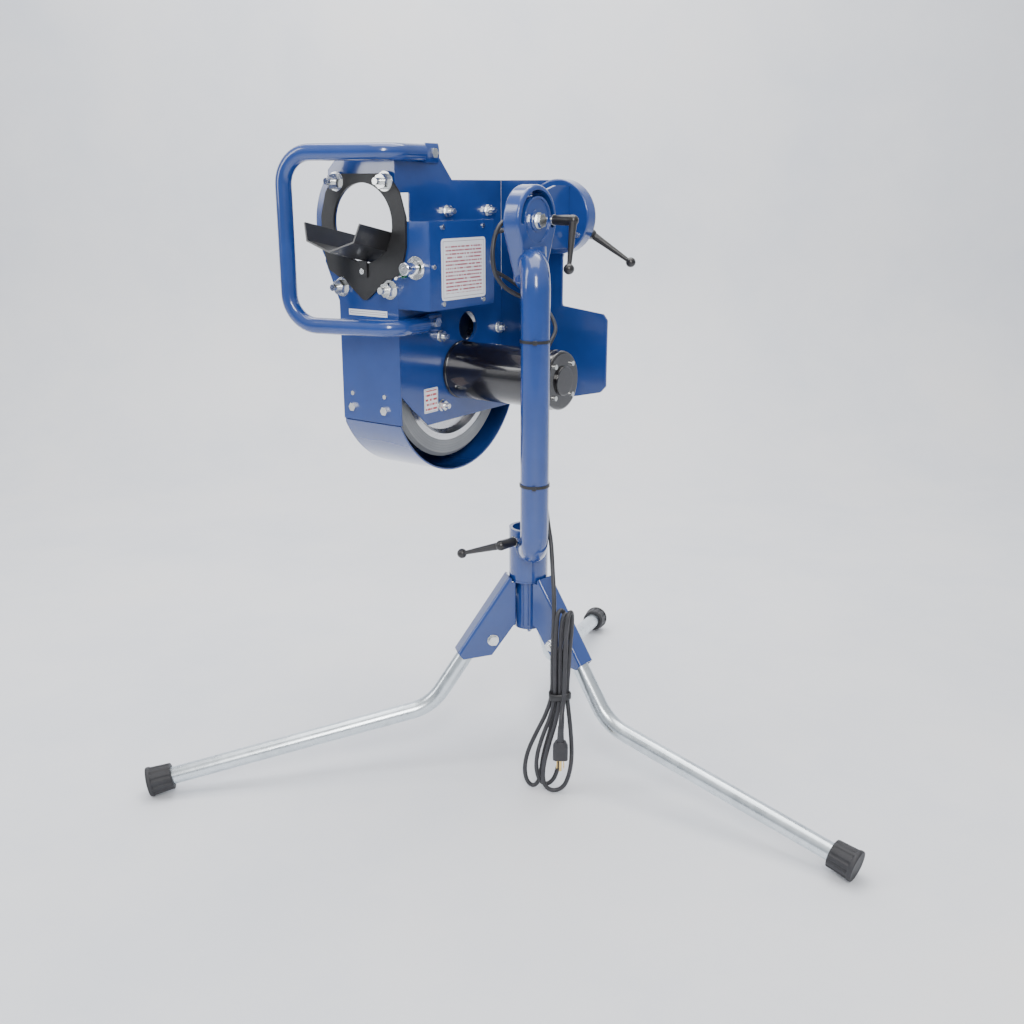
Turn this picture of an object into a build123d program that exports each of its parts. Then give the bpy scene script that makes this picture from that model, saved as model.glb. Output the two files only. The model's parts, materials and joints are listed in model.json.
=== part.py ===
from build123d import *
from math import sin, cos, tan, radians, sqrt, hypot, atan2, degrees, pi
import os

os.makedirs("parts", exist_ok=True)

# Baseball pitching machine on a tripod.
# Millimetres, +Z up, +Y the throwing direction, +X the motor side.
# Everything is laid out about the tripod's vertical axis, with the floor at Z = 0,
# and is moved once, as it is written, so that the origin is the middle of the footprint.

# ---------------------------------------------------------------- driving dimensions
middle_x = 96.61          # middle of the footprint, measured from the tripod axis
middle_y = 37.09

# tripod
leg_azimuths = {"left": -41.0, "right": 85.0, "rear": 199.0}   # from -Y towards +X
leg_reach = {"left": 718.0, "right": 682.0, "rear": 660.0}     # tip's end, out from the axis
leg_tube_r = 15.875       # 1 1/4 inch tube
leg_wall = 2.0
leg_foot_z = 25.5         # centre of the tip's end
leg_bend_at = 192.0       # corner between the steep and the shallow run, out from the axis
leg_bend_r = 90.0
tip_length = 45.0
tip_big_r = 27.0
tip_small_r = 24.0
web_top = (42.0, 370.0)   # top plate of a leg socket, radius and height at its two ends
web_foot = (141.0, 226.0)
sheet_socket = 3.5
fold_r = 6.5              # outer radius of a socket's two folds
socket_half_gap = 16.4
post_r = 25.0
post_foot_z = 268.0
collar_z = 360.0
spigot_r = 30.0
spigot_top_z = 450.0
post_bore_r = 19.0

# mast
sleeve_r = 36.5
sleeve_bore_r = 30.08
sleeve_low_z = 363.8
sleeve_top_z = 462.0
yoke_azimuth = 42.0
yoke_offset = 75.0
yoke_tube_r = 25.4        # 2 inch tube
yoke_wall = 3.0
yoke_low_z = 431.0
yoke_high_z = 945.0
knuckle_half = 17.0
ear_r = 60.0
neck_r = 29.0

# head joints
pitch_z = 1015.0          # pitch axis, along X through the tripod axis
pitch_bolt_r = 8.0
lock_r = 46.0             # pitch lock stud, out from the pitch axis
roll_x = -45.0            # roll axis, along Y
roll_z = 1017.0
roll_bolt_r = 10.0
disc_r = 68.0
disc_front_y = 155.0
disc_back_y = 180.0
flange_y = 180.4
flange_sheet = 4.5
roll_stud = (0.0, 985.0)  # roll lock stud, X and Z
running = 0.08            # radial clearance of a turning fit

# throwing wheel
wheel_y = 44.0
wheel_z = 734.0
wheel_mid_x = -262.0
tyre_r = 172.0
tyre_half = 50.0
tread_dip = 11.0
rim_r = 140.0
shaft_r = 9.5
band_r = 196.0

# head shell
sheet = 3.0
right_x = -190.0          # outer face of the right-hand side plate
left_x = -331.0           # outer face of the left-hand side plate
rear_y = -133.0           # outer face of the feed plate
head_top_z = 1143.0
plate_step_z = 1083.0
skirt_z = 641.0           # lower edge of the right-hand side plate
left_top_z = 880.0
feed_x = -264.0
feed_z = 1009.0
feed_r = 69.0

# control box
box_out_x = -116.0
box_far_y = 54.0
box_low_z = 863.0
box_top_z = 1014.0
box_sheet = 2.0
knob_x = -147.0
knob_z = 936.0
switch_x = -173.0
switch_z = 924.0

# handle
handle_r = 14.5
handle_top_z = 1128.0
handle_low_z = 832.0
handle_bolt_y = -38.0

# power lead
lead_r = 4.0
tie_low_z = 562.0
tie_high_z = 817.0

on_end = (Align.CENTER, Align.CENTER, Align.MIN)   # a cylinder or cone that stands on its end
kept = []


def keep(part, name):
    """Label a finished piece and put it on the list of pieces to write."""
    part.label = name
    kept.append(part)


def radial_plane(azimuth):
    """Upright plane through the tripod axis: local x points outward, local y is up."""
    a = radians(azimuth)
    return Plane(origin=(0, 0, 0), x_dir=(sin(a), -cos(a), 0), z_dir=(-cos(a), -sin(a), 0))


def radial(azimuth, r, z, side=0.0):
    """A point at a radius, a height and a distance to one side of a radial plane."""
    return radial_plane(azimuth).from_local_coords(Vector(r, z, side))


# ---------------------------------------------------------------- tripod
with BuildPart() as hub_post:
    with BuildSketch(Plane.XY.offset(post_foot_z)):
        Circle(post_r)
    extrude(amount=collar_z - post_foot_z)
    with BuildSketch(Plane.XY.offset(collar_z)):
        Circle(sleeve_r)
    extrude(amount=3.5)
    with BuildSketch(Plane.XY.offset(collar_z + 3.5)):
        Circle(spigot_r)
    extrude(amount=spigot_top_z - collar_z - 3.5)
    with BuildSketch(Plane.XY.offset(post_foot_z)):
        Circle(post_bore_r)
    extrude(amount=spigot_top_z - post_foot_z, mode=Mode.SUBTRACT)
    chamfer(hub_post.edges().group_by(Axis.Z)[-1], length=1.5)
keep(hub_post.part, "hub_post")

# plug in the foot of the post, with the pointed stud that hangs below it
with BuildPart() as hub_plug:
    with BuildSketch(Plane.XZ) as plug_profile:
        with BuildLine():
            Polyline((0, 249), (5, 262), (5, 265), (post_r, 265), (post_r, post_foot_z),
                     (post_bore_r, post_foot_z), (post_bore_r, 280), (0, 280), close=True)
        make_face()
    revolve(axis=Axis.Z)
keep(hub_plug.part, "hub_plug")

web_run = Vector(web_foot[0] - web_top[0], web_foot[1] - web_top[1]).normalized()
web_in = Vector(web_run.Y, -web_run.X)
leg_top = Vector(*web_top) + web_run * 25.0 + web_in * (sheet_socket + leg_tube_r + 0.3)
leg_bend = leg_top + web_run * ((leg_bend_at - leg_top.X) / web_run.X)


def tip_spot(side, back=0.0):
    """The centre of a leg's tip in its own radial plane, or a point back along the tube."""
    tip_end = Vector(leg_reach[side], leg_foot_z)
    return tip_end - (tip_end - leg_bend).normalized() * back


clamp_bolt = (74.0, 248.5)

# folded channels: each has a top plate on its tube and two side plates welded to the post
inner_top = Vector(*web_top) + web_in * sheet_socket - web_run * 60
inner_foot = Vector(*web_foot) + web_in * sheet_socket + web_run * 60
with BuildPart() as leg_sockets:
    for azimuth in leg_azimuths.values():
        with BuildSketch(radial_plane(azimuth)):
            with BuildLine():
                Polyline((12, 352), (30, 359.8), (36.9, 359.8), (36.9, 368), web_top, web_foot,
                         (131, 214), (76, 218), (34, 274), (12, 278), close=True)
            make_face()
        extrude(amount=socket_half_gap + sheet_socket, both=True)
    fold_length = (Vector(*web_foot) - Vector(*web_top)).length
    fillet([e for e in leg_sockets.edges() if abs(e.length - fold_length) < 0.05], radius=fold_r)
    for azimuth in leg_azimuths.values():
        with BuildSketch(radial_plane(azimuth)):
            with BuildLine():
                Polyline((inner_top.X, inner_top.Y), (inner_foot.X, inner_foot.Y),
                         ((inner_foot + web_in * 220).X, (inner_foot + web_in * 220).Y),
                         ((inner_top + web_in * 220).X, (inner_top + web_in * 220).Y), close=True)
            make_face()
            with Locations(clamp_bolt):
                Circle(5.2)
        extrude(amount=socket_half_gap, both=True, mode=Mode.SUBTRACT)
        with BuildSketch(radial_plane(azimuth)):
            with Locations(clamp_bolt):
                Circle(5.2)
        extrude(amount=40, both=True, mode=Mode.SUBTRACT)
    with BuildSketch(Plane.XY.offset(150)):
        Circle(post_r)
    extrude(amount=300, mode=Mode.SUBTRACT)
keep(leg_sockets.part, "leg_sockets")

for side, azimuth in leg_azimuths.items():
    with BuildPart() as leg:
        with BuildLine(radial_plane(azimuth)) as leg_path:
            tube_end = tip_spot(side, back=10)
            FilletPolyline((leg_top.X, leg_top.Y), (leg_bend.X, leg_bend.Y), (tube_end.X, tube_end.Y),
                           radius=leg_bend_r)
        with BuildSketch(Plane(origin=leg_path.line @ 0, z_dir=leg_path.line % 0)):
            Circle(leg_tube_r)
            Circle(leg_tube_r - leg_wall, mode=Mode.SUBTRACT)
        sweep(path=leg_path.line)
    keep(leg.part, f"leg_{side}")

# flared rubber tips, ground flat where they stand
with BuildPart() as leg_tips:
    for side, azimuth in leg_azimuths.items():
        leg_plane = radial_plane(azimuth)
        foot = leg_plane.from_local_coords(tip_spot(side))
        tip_plane = Plane(origin=foot, z_dir=foot - leg_plane.from_local_coords(tip_spot(side, back=1)))
        with BuildSketch(tip_plane.offset(-tip_length)):
            Circle(tip_small_r)
        with BuildSketch(tip_plane.offset(-9)):
            Circle(tip_big_r - 1.5)
        loft()
        with BuildSketch(tip_plane.offset(-9)):
            Circle(tip_big_r)
        extrude(amount=9)
        with BuildSketch(tip_plane.offset(-tip_length)):
            Circle(leg_tube_r)
        extrude(amount=tip_length - 10, mode=Mode.SUBTRACT)
    split(bisect_by=Plane.XY, keep=Keep.TOP)
keep(leg_tips.part, "leg_tips")

# cross bolts that pinch each channel on its leg, with their washers and nuts
with BuildPart() as leg_bolts:
    for azimuth in leg_azimuths.values():
        bolt_plane = radial_plane(azimuth)
        with BuildSketch(bolt_plane.offset(-socket_half_gap - sheet_socket - 8)):
            with Locations(clamp_bolt):
                RegularPolygon(radius=9.8, side_count=6)
        extrude(amount=6)
        with BuildSketch(bolt_plane.offset(-socket_half_gap - sheet_socket - 2)):
            with Locations(clamp_bolt):
                Circle(11)
        extrude(amount=2)
        with BuildSketch(bolt_plane.offset(-socket_half_gap - sheet_socket)):
            with Locations(clamp_bolt):
                Circle(5)
        extrude(amount=2 * (socket_half_gap + sheet_socket) + 13)
        with BuildSketch(bolt_plane.offset(socket_half_gap + sheet_socket)):
            with Locations(clamp_bolt):
                Circle(11)
        extrude(amount=2)
        with BuildSketch(bolt_plane.offset(socket_half_gap + sheet_socket + 2)):
            with Locations(clamp_bolt):
                RegularPolygon(radius=9.8, side_count=6)
        extrude(amount=8)
keep(leg_bolts.part, "leg_bolts")

# ---------------------------------------------------------------- mast
yaw_lever_azimuth = -10.0
yaw_lever_z = 441.0
yaw_arm_droop = 20.0

with BuildPart() as swivel_sleeve:
    with BuildSketch(Plane.XY.offset(sleeve_low_z)):
        Circle(sleeve_r)
        Circle(sleeve_bore_r, mode=Mode.SUBTRACT)
    extrude(amount=sleeve_top_z - sleeve_low_z)
    with BuildSketch(Plane(origin=radial(yaw_lever_azimuth, 20, yaw_lever_z),
                           z_dir=radial_plane(yaw_lever_azimuth).x_dir)):
        Circle(5.1)
    extrude(amount=30, mode=Mode.SUBTRACT)
keep(swivel_sleeve.part, "swivel_sleeve")

# cast knuckle: a round ear with an arc slot, tapering to the neck on the yoke
with BuildPart() as pitch_knuckle:
    with BuildSketch(Plane.YZ):
        with Locations((0, pitch_z)):
            Circle(ear_r)
        with Locations((0, 922)):
            Circle(26)
        make_hull()
    extrude(amount=knuckle_half, both=True)
    fillet(pitch_knuckle.edges().filter_by(Axis.X, reverse=True), radius=5)
    with BuildSketch(Plane.XY.offset(912)):
        Circle(neck_r)
    extrude(amount=60)
    with BuildSketch(Plane.YZ):
        with Locations((0, pitch_z)):
            Circle(pitch_bolt_r + running)
        with BuildLine(mode=Mode.PRIVATE) as slot_line:
            CenterArc((0, pitch_z), lock_r, -10, 190)
        SlotArc(arc=slot_line.edges()[0], height=10.6)
    extrude(amount=60, both=True, mode=Mode.SUBTRACT)
    with BuildSketch(Plane.YZ.offset(knuckle_half - 2.5)):
        with Locations((0, pitch_z)):
            Circle(lock_r - 9)
            Circle(19, mode=Mode.SUBTRACT)
    extrude(amount=10, mode=Mode.SUBTRACT)
keep(pitch_knuckle.part, "pitch_knuckle")

with BuildPart() as yoke_tube:
    with BuildLine(radial_plane(yoke_azimuth)) as yoke_path:
        FilletPolyline((33, yoke_low_z), (yoke_offset, yoke_low_z), (yoke_offset, yoke_high_z),
                       (25, yoke_high_z), radius=[37, 45])
    with BuildSketch(Plane(origin=yoke_path.line @ 0, z_dir=yoke_path.line % 0)):
        Circle(yoke_tube_r)
        Circle(yoke_tube_r - yoke_wall, mode=Mode.SUBTRACT)
    sweep(path=yoke_path.line)
    with BuildSketch(Plane.XY.offset(350)):
        Circle(sleeve_r)
    extrude(amount=150, mode=Mode.SUBTRACT)
    with BuildSketch(Plane.XY.offset(880)):
        Circle(neck_r)
    extrude(amount=120, mode=Mode.SUBTRACT)
    add(pitch_knuckle.part, mode=Mode.SUBTRACT)
keep(yoke_tube.part, "yoke_tube")

# cable ties that hold the lead to the back of the yoke
tie_side = Vector(0.13, 0.99).normalized()
yoke_axis = radial(yoke_azimuth, yoke_offset, 0)
lead_side = yoke_axis + tie_side * (yoke_tube_r + lead_r + 0.3)
with BuildPart() as cable_ties:
    for tie_z in (tie_low_z, tie_high_z):
        with BuildSketch(Plane.XY.offset(tie_z - 2.5)):
            with Locations((yoke_axis.X, yoke_axis.Y)):
                Circle(yoke_tube_r + 1.6)
            with Locations((lead_side.X, lead_side.Y)):
                Circle(lead_r + 1.9)
            make_hull()
        extrude(amount=5)
        with BuildSketch(Plane.XY.offset(tie_z - 2.5)):
            with Locations((yoke_axis.X, yoke_axis.Y)):
                Circle(yoke_tube_r)
            with Locations((lead_side.X, lead_side.Y)):
                Circle(lead_r + 0.3)
            make_hull()
        extrude(amount=5, mode=Mode.SUBTRACT)
        with BuildSketch(Plane.XY.offset(tie_z - 3.5)):
            with Locations((yoke_axis.X + 15.6, yoke_axis.Y - 25.0)):
                Rectangle(7, 5, rotation=30)
        extrude(amount=7)
        with BuildSketch(Plane.XY.offset(tie_z - 6)):
            with Locations((yoke_axis.X, yoke_axis.Y)):
                Circle(yoke_tube_r)
        extrude(amount=12, mode=Mode.SUBTRACT)
keep(cable_ties.part, "cable_ties")

# ---------------------------------------------------------------- clamp levers
lever_arm = 92.0          # elbow to ball
lever_lean = 12.0
lever_ball_r = 9.3
lever_barrel_r = 9.6


def clamp_lever(seat, name, barrel):
    """The cast handle that turns on a stud: a domed barrel and a leaning tapered arm with a ball."""
    lean = radians(lever_lean)
    arm_dir = seat.x_dir * cos(lean) + seat.z_dir * sin(lean)
    elbow = seat.from_local_coords(Vector(0, 0, barrel))
    arm_end_r = 3.9
    neck = lever_arm - sqrt(lever_ball_r ** 2 - arm_end_r ** 2)
    with BuildPart() as lever:
        with BuildSketch(Plane(origin=seat.origin, x_dir=seat.x_dir, z_dir=-seat.y_dir)):
            with BuildLine():
                Polyline((0, barrel + lever_barrel_r), (0, 3), (8.6, 3), (lever_barrel_r, barrel))
                RadiusArc((lever_barrel_r, barrel), (0, barrel + lever_barrel_r), -lever_barrel_r)
            make_face()
        revolve(axis=Axis(seat.origin, seat.z_dir))
        with BuildSketch(Plane(origin=elbow, x_dir=seat.y_dir, z_dir=seat.y_dir.cross(arm_dir))):
            with BuildLine():
                Polyline((0, lever_arm + lever_ball_r), (0, 0), (7.4, 0), (arm_end_r, neck))
                ThreePointArc((arm_end_r, neck), (lever_ball_r, lever_arm), (0, lever_arm + lever_ball_r))
            make_face()
        revolve(axis=Axis(elbow, arm_dir))
        with Locations(seat):
            Cylinder(5, barrel - 11, align=on_end, mode=Mode.SUBTRACT)
    keep(lever.part, name)


yaw_out = radial_plane(yaw_lever_azimuth).x_dir
yaw_arm_flat = radial_plane(yaw_lever_azimuth - 90).x_dir
yaw_arm = (yaw_arm_flat * cos(radians(yaw_arm_droop)) - Vector(0, 0, 1) * sin(radians(yaw_arm_droop))).normalized()
yaw_seat = Plane(origin=radial(yaw_lever_azimuth, sleeve_r + 0.4, yaw_lever_z), x_dir=yaw_arm, z_dir=yaw_out)
pitch_seat = Plane(origin=(knuckle_half + 0.4, lock_r, pitch_z), x_dir=(0, -sin(radians(28)), -cos(radians(28))),
                   z_dir=(1, 0, 0))
roll_seat = Plane(origin=(roll_stud[0], flange_y + flange_sheet + 0.4, roll_stud[1]),
                  x_dir=Vector(75, 0, -50).normalized(), z_dir=(0, 1, 0))

# studs, each with a collar that stands just proud of what it clamps
with BuildPart() as yaw_stud:
    with Locations(yaw_seat.offset(-6.6)):
        Cylinder(5, 6.6, align=on_end)
    with Locations(yaw_seat):
        Cylinder(9.5, 3, align=on_end)
    with Locations(yaw_seat.offset(3)):
        Cylinder(4.92, 21, align=on_end)
keep(yaw_stud.part, "yaw_stud")

with BuildPart() as lock_studs:
    for seat, stud_in, stud_out in [(pitch_seat, 47.4, 27.0), (roll_seat, 34.0, 7.0)]:
        with Locations(seat.offset(-stud_in)):
            Cylinder(5, stud_in, align=on_end)
        with Locations(seat):
            Cylinder(9.5, 3, align=on_end)
        with Locations(seat.offset(3)):
            Cylinder(4.92, stud_out, align=on_end)
keep(lock_studs.part, "lock_studs")

clamp_lever(yaw_seat, "yaw_lever", 36.0)
clamp_lever(pitch_seat, "pitch_lever", 42.0)
clamp_lever(roll_seat, "roll_lever", 22.0)

# ---------------------------------------------------------------- pitch bracket
cheek_x = -knuckle_half - 0.4
cheek_sheet = 6.6
with BuildPart() as pitch_cheek:
    with BuildSketch(Plane.YZ.offset(cheek_x)):
        with Locations((0, pitch_z)):
            Circle(31)
        with Locations((132, 1017)):
            Rectangle(46, 112)
        make_hull()
        with Locations((0, pitch_z)):
            Circle(pitch_bolt_r, mode=Mode.SUBTRACT)
        with Locations((lock_r, pitch_z)):
            Circle(5.1, mode=Mode.SUBTRACT)
    extrude(amount=-cheek_sheet)
keep(pitch_cheek.part, "pitch_cheek")

with BuildPart() as roll_disc:
    with BuildSketch(Plane.XZ.offset(-disc_front_y)):
        with Locations((roll_x, roll_z)):
            Circle(disc_r)
    extrude(amount=-(disc_back_y - disc_front_y))
    fillet(roll_disc.edges().group_by(Axis.Y)[0], radius=3)
    with BuildSketch(Plane.XZ.offset(-disc_front_y)):
        with Locations((roll_x, roll_z)):
            Circle(roll_bolt_r)
        with Locations(roll_stud):
            Circle(5.1)
    extrude(amount=-40, mode=Mode.SUBTRACT)
keep(roll_disc.part, "roll_disc")

# the two pivot bolts, each with its head washer and its nut
with BuildPart() as pivot_bolts:
    with BuildSketch(Plane.YZ.offset(knuckle_half + 0.3)):
        with Locations((0, pitch_z)):
            Circle(14)
    extrude(amount=2)
    with BuildSketch(Plane.YZ.offset(knuckle_half + 2.3)):
        with Locations((0, pitch_z)):
            RegularPolygon(radius=12.5, side_count=6, rotation=10)
    extrude(amount=8)
    with BuildSketch(Plane.YZ.offset(-38)):
        with Locations((0, pitch_z)):
            Circle(pitch_bolt_r)
    extrude(amount=40 + knuckle_half)
    with BuildSketch(Plane.YZ.offset(cheek_x - cheek_sheet)):
        with Locations((0, pitch_z)):
            RegularPolygon(radius=13.5, side_count=6)
    extrude(amount=-11)
    with BuildSketch(Plane.XZ.offset(-disc_front_y)):
        with Locations((roll_x, roll_z)):
            Circle(17)
    extrude(amount=2.5)
    with BuildSketch(Plane.XZ.offset(-disc_front_y + 2.5)):
        with Locations((roll_x, roll_z)):
            RegularPolygon(radius=15.5, side_count=6)
    extrude(amount=10)
    with BuildSketch(Plane.XZ.offset(-disc_front_y)):
        with Locations((roll_x, roll_z)):
            Circle(roll_bolt_r)
    extrude(amount=-52)
    with BuildSketch(Plane.XZ.offset(-(flange_y + flange_sheet + 0.3))):
        with Locations((roll_x, roll_z)):
            Circle(18)
    extrude(amount=-3)
    with BuildSketch(Plane.XZ.offset(-(flange_y + flange_sheet + 3.3))):
        with Locations((roll_x, roll_z)):
            RegularPolygon(radius=16.5, side_count=6)
    extrude(amount=-14)
keep(pivot_bolts.part, "pivot_bolts")

# ---------------------------------------------------------------- head shell
handle_bolts_yz = [(handle_bolt_y, handle_top_z), (handle_bolt_y, handle_low_z)]
pad_bolts_yz = [(9, 1028), (135, 1028)]
bearing_bolts_yz = [(-16, 804), (168, 802), (-16, 673), (168, 673)]
bearing_r = 21.0

with BuildPart() as side_plate_right:
    with BuildSketch(Plane.YZ.offset(right_x)) as side_right:
        with BuildLine():
            Polyline((rear_y + sheet, head_top_z), (-30, head_top_z), (26, plate_step_z),
                     (disc_back_y, plate_step_z), (disc_back_y, 760), (rear_y + sheet, 760), close=True)
        make_face()
        with Locations((wheel_y, wheel_z)):
            Circle(band_r)
        with Locations((0, skirt_z - 150)):
            Rectangle(700, 300, mode=Mode.SUBTRACT)
        with Locations((rear_y + sheet - 50, 760)):
            Rectangle(100, 400, mode=Mode.SUBTRACT)
        with BuildLine():
            Polyline((rear_y + sheet, skirt_z), (rear_y + sheet, 705), (-101, 678), (-56, skirt_z), close=True)
        make_face(mode=Mode.SUBTRACT)
        with Locations((rear_y + 19, 1035.5)):
            Rectangle(38, 51, mode=Mode.SUBTRACT)
        with Locations(handle_bolts_yz + pad_bolts_yz + bearing_bolts_yz):
            Circle(5.2, mode=Mode.SUBTRACT)
        with Locations((wheel_y, wheel_z)):
            Circle(bearing_r, mode=Mode.SUBTRACT)
        with Locations((70, 814)):
            Circle(28, mode=Mode.SUBTRACT)
    extrude(amount=-sheet)
keep(side_plate_right.part, "side_plate_right")

with BuildPart() as side_plate_left:
    with BuildSketch(Plane.YZ.offset(left_x)):
        with Locations(((rear_y + sheet + disc_back_y) / 2, (wheel_z + left_top_z) / 2)):
            Rectangle(disc_back_y - rear_y - sheet, left_top_z - wheel_z)
        with Locations((wheel_y, wheel_z)):
            Circle(band_r)
        with Locations((rear_y + sheet - 50, 720)):
            Rectangle(100, 500, mode=Mode.SUBTRACT)
    extrude(amount=sheet)
keep(side_plate_left.part, "side_plate_left")

# curved guard under the wheel, from the feed plate round to the muzzle
band_start = degrees(atan2(-sqrt(band_r**2 - (wheel_y - rear_y) ** 2), rear_y - wheel_y)) + 360
with BuildPart() as guard_band:
    with BuildSketch(Plane.YZ.offset(left_x + sheet)):
        with BuildLine():
            outer_arc = CenterArc((wheel_y, wheel_z), band_r, band_start, 360 + 52 - band_start)
            inner_arc = CenterArc((wheel_y, wheel_z), band_r - sheet, band_start, 360 + 52 - band_start)
            Line(outer_arc @ 0, inner_arc @ 0)
            Line(outer_arc @ 1, inner_arc @ 1)
        make_face()
    extrude(amount=right_x - left_x - 2 * sheet)
keep(guard_band.part, "guard_band")

ring_holes = [(feed_x - 57, 1080), (feed_x + 57, 1080), (feed_x - 57, 896), (feed_x + 57, 896)]
seam_bolts_xz = [(-306, 676), (-228, 676)]
seam_screws_xz = [(-306, 702), (-228, 702)]
with BuildPart() as feed_plate:
    with BuildSketch(Plane.XZ.offset(-rear_y)):
        with Locations((feed_x + 2, feed_z)):
            Circle(118)
        with BuildLine():
            Polyline((right_x, head_top_z), (-300, head_top_z), (-346, 1100), (-362, 940),
                     (left_x, 870), (left_x, 652), (right_x, 652), close=True)
        make_face()
        with Locations((feed_x, feed_z)):
            Circle(feed_r, mode=Mode.SUBTRACT)
        with Locations((right_x, 1035.5)):
            Rectangle(24, 51, mode=Mode.SUBTRACT)
        with Locations((right_x + 60, feed_z)):
            Rectangle(120, 500, mode=Mode.SUBTRACT)
        with Locations(ring_holes):
            Circle(6.2, mode=Mode.SUBTRACT)
        with Locations(seam_bolts_xz):
            Circle(4.1, mode=Mode.SUBTRACT)
        with Locations(seam_screws_xz):
            Circle(2.1, mode=Mode.SUBTRACT)
    extrude(amount=-sheet)
keep(feed_plate.part, "feed_plate")

# bolts and nuts of the lower seam
with BuildPart() as seam_bolts:
    with BuildSketch(Plane.XZ.offset(-rear_y)):
        with Locations(seam_bolts_xz):
            RegularPolygon(radius=8, side_count=6)
    extrude(amount=6)
    with BuildSketch(Plane.XZ.offset(-rear_y)):
        with Locations(seam_bolts_xz):
            Circle(4)
    extrude(amount=-8)
    with BuildSketch(Plane.XZ.offset(-rear_y - sheet)):
        with Locations(seam_bolts_xz):
            RegularPolygon(radius=7.5, side_count=6)
    extrude(amount=-5)
keep(seam_bolts.part, "seam_bolts")

# upright flange on the right-hand side plate: it carries the roll joint and shields the motor
with BuildPart() as mount_flange:
    with BuildSketch(Plane.XZ.offset(-flange_y)) as mount_flange_sketch:
        with BuildLine():
            Polyline((right_x, plate_step_z), (roll_x, plate_step_z), (roll_x, 950), (-48, 940),
                     (-48, 852), (44, 841), (53, 830), (53, 704), (42, 692), (-10, 680),
                     (right_x, 655), close=True)
        make_face()
        fillet([v for v in mount_flange_sketch.vertices() if v.X > -50 and v.Z < 945], radius=5)
        with Locations((roll_x, roll_z)):
            Circle(disc_r - 1.5)
        with Locations((roll_x, roll_z)):
            Circle(roll_bolt_r + running, mode=Mode.SUBTRACT)
        with BuildLine(mode=Mode.PRIVATE) as roll_slot:
            CenterArc((roll_x, roll_z), hypot(roll_stud[0] - roll_x, roll_stud[1] - roll_z), -58, 76)
        SlotArc(arc=roll_slot.edges()[0], height=10.8, mode=Mode.SUBTRACT)
    extrude(amount=-flange_sheet)
keep(mount_flange.part, "mount_flange")

# ---------------------------------------------------------------- ball feed
with BuildPart() as feed_ring:
    with BuildSketch(Plane.XZ.offset(-rear_y)) as feed_ring_sketch:
        with BuildLine():
            Polyline((feed_x - 60, 1093), (feed_x + 60, 1093), (feed_x + 86, 1062), (feed_x + 99, 1020),
                     (feed_x + 98, 970), (feed_x + 86, 926), (feed_x + 40, 903), (feed_x, 872),
                     (feed_x - 40, 903), (feed_x - 86, 926), (feed_x - 98, 970), (feed_x - 99, 1020),
                     (feed_x - 86, 1062), close=True)
        make_face()
        fillet(feed_ring_sketch.vertices(), radius=12)
        with Locations(ring_holes[2:]):
            Circle(17.8, mode=Mode.SUBTRACT)
        with Locations((feed_x, feed_z)):
            Circle(feed_r, mode=Mode.SUBTRACT)
        with Locations(ring_holes[:2]):
            Circle(6.2, mode=Mode.SUBTRACT)
        with Locations((feed_x, 926)):
            Circle(2.6, mode=Mode.SUBTRACT)
    extrude(amount=5)
keep(feed_ring.part, "feed_ring")

tray_tilt = 11.6
tray_plane = Plane(origin=(feed_x, -225, 962), x_dir=(-1, 0, 0),
                   z_dir=(0, cos(radians(tray_tilt)), -sin(radians(tray_tilt))))
with BuildPart() as feed_tray:
    with BuildSketch(tray_plane):
        with BuildLine():
            Polyline((-66, 50), (-56, 18), (0, 0), (56, 18), (66, 50), (63, 51), (53.2, 20.2),
                     (0, 3.1), (-53.2, 20.2), (-63, 51), close=True)
        make_face()
    extrude(amount=160)
    with BuildSketch(Plane.XZ.offset(-rear_y + 5.4)):
        with Locations((feed_x, feed_z)):
            Circle(120)
            Circle(feed_r - 0.4, mode=Mode.SUBTRACT)
    extrude(amount=-8.8, mode=Mode.SUBTRACT)
    with Locations((feed_x, rear_y - 6.5, 930)):
        Box(20, 3, 29)
    with BuildSketch(Plane.XZ.offset(-rear_y)):
        with Locations((feed_x, 926)):
            Circle(2.6)
    extrude(amount=12, mode=Mode.SUBTRACT)
keep(feed_tray.part, "feed_tray")

# the four big bolts that hold the feed ring: the upper pair stands on the ring itself
ring_seats = [5, 5, 0, 0]
with BuildPart() as ring_bolts:
    for spot, seat in zip(ring_holes, ring_seats):
        with BuildSketch(Plane.XZ.offset(-rear_y - sheet)):
            with Locations(spot):
                Circle(6)
        extrude(amount=sheet + seat + 28)
        with BuildSketch(Plane.XZ.offset(-rear_y - sheet)):
            with Locations(spot):
                RegularPolygon(radius=12, side_count=6)
        extrude(amount=-7)
        with BuildSketch(Plane.XZ.offset(-rear_y + seat)):
            with Locations(spot):
                Circle(17)
        extrude(amount=2.5)
        with BuildSketch(Plane.XZ.offset(-rear_y + seat + 2.5)):
            with Locations(spot):
                RegularPolygon(radius=13.5, side_count=6, rotation=15)
        extrude(amount=12)
keep(ring_bolts.part, "ring_bolts")

# compression pad over the wheel, on a folded bracket
with BuildPart() as pad_bracket:
    with BuildSketch(Plane.XZ.offset(-2)):
        with BuildLine():
            Polyline((right_x - sheet, 1045), (right_x - sheet, 985), (-312, 985), (-312, 1000),
                     (-309, 1000), (-309, 989), (-197, 989), (-197, 1045), close=True)
        make_face()
    extrude(amount=-160)
    with BuildSketch(Plane.YZ.offset(right_x - sheet)):
        with Locations(pad_bolts_yz):
            Circle(5.2)
    extrude(amount=-8, mode=Mode.SUBTRACT)
keep(pad_bracket.part, "pad_bracket")

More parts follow.
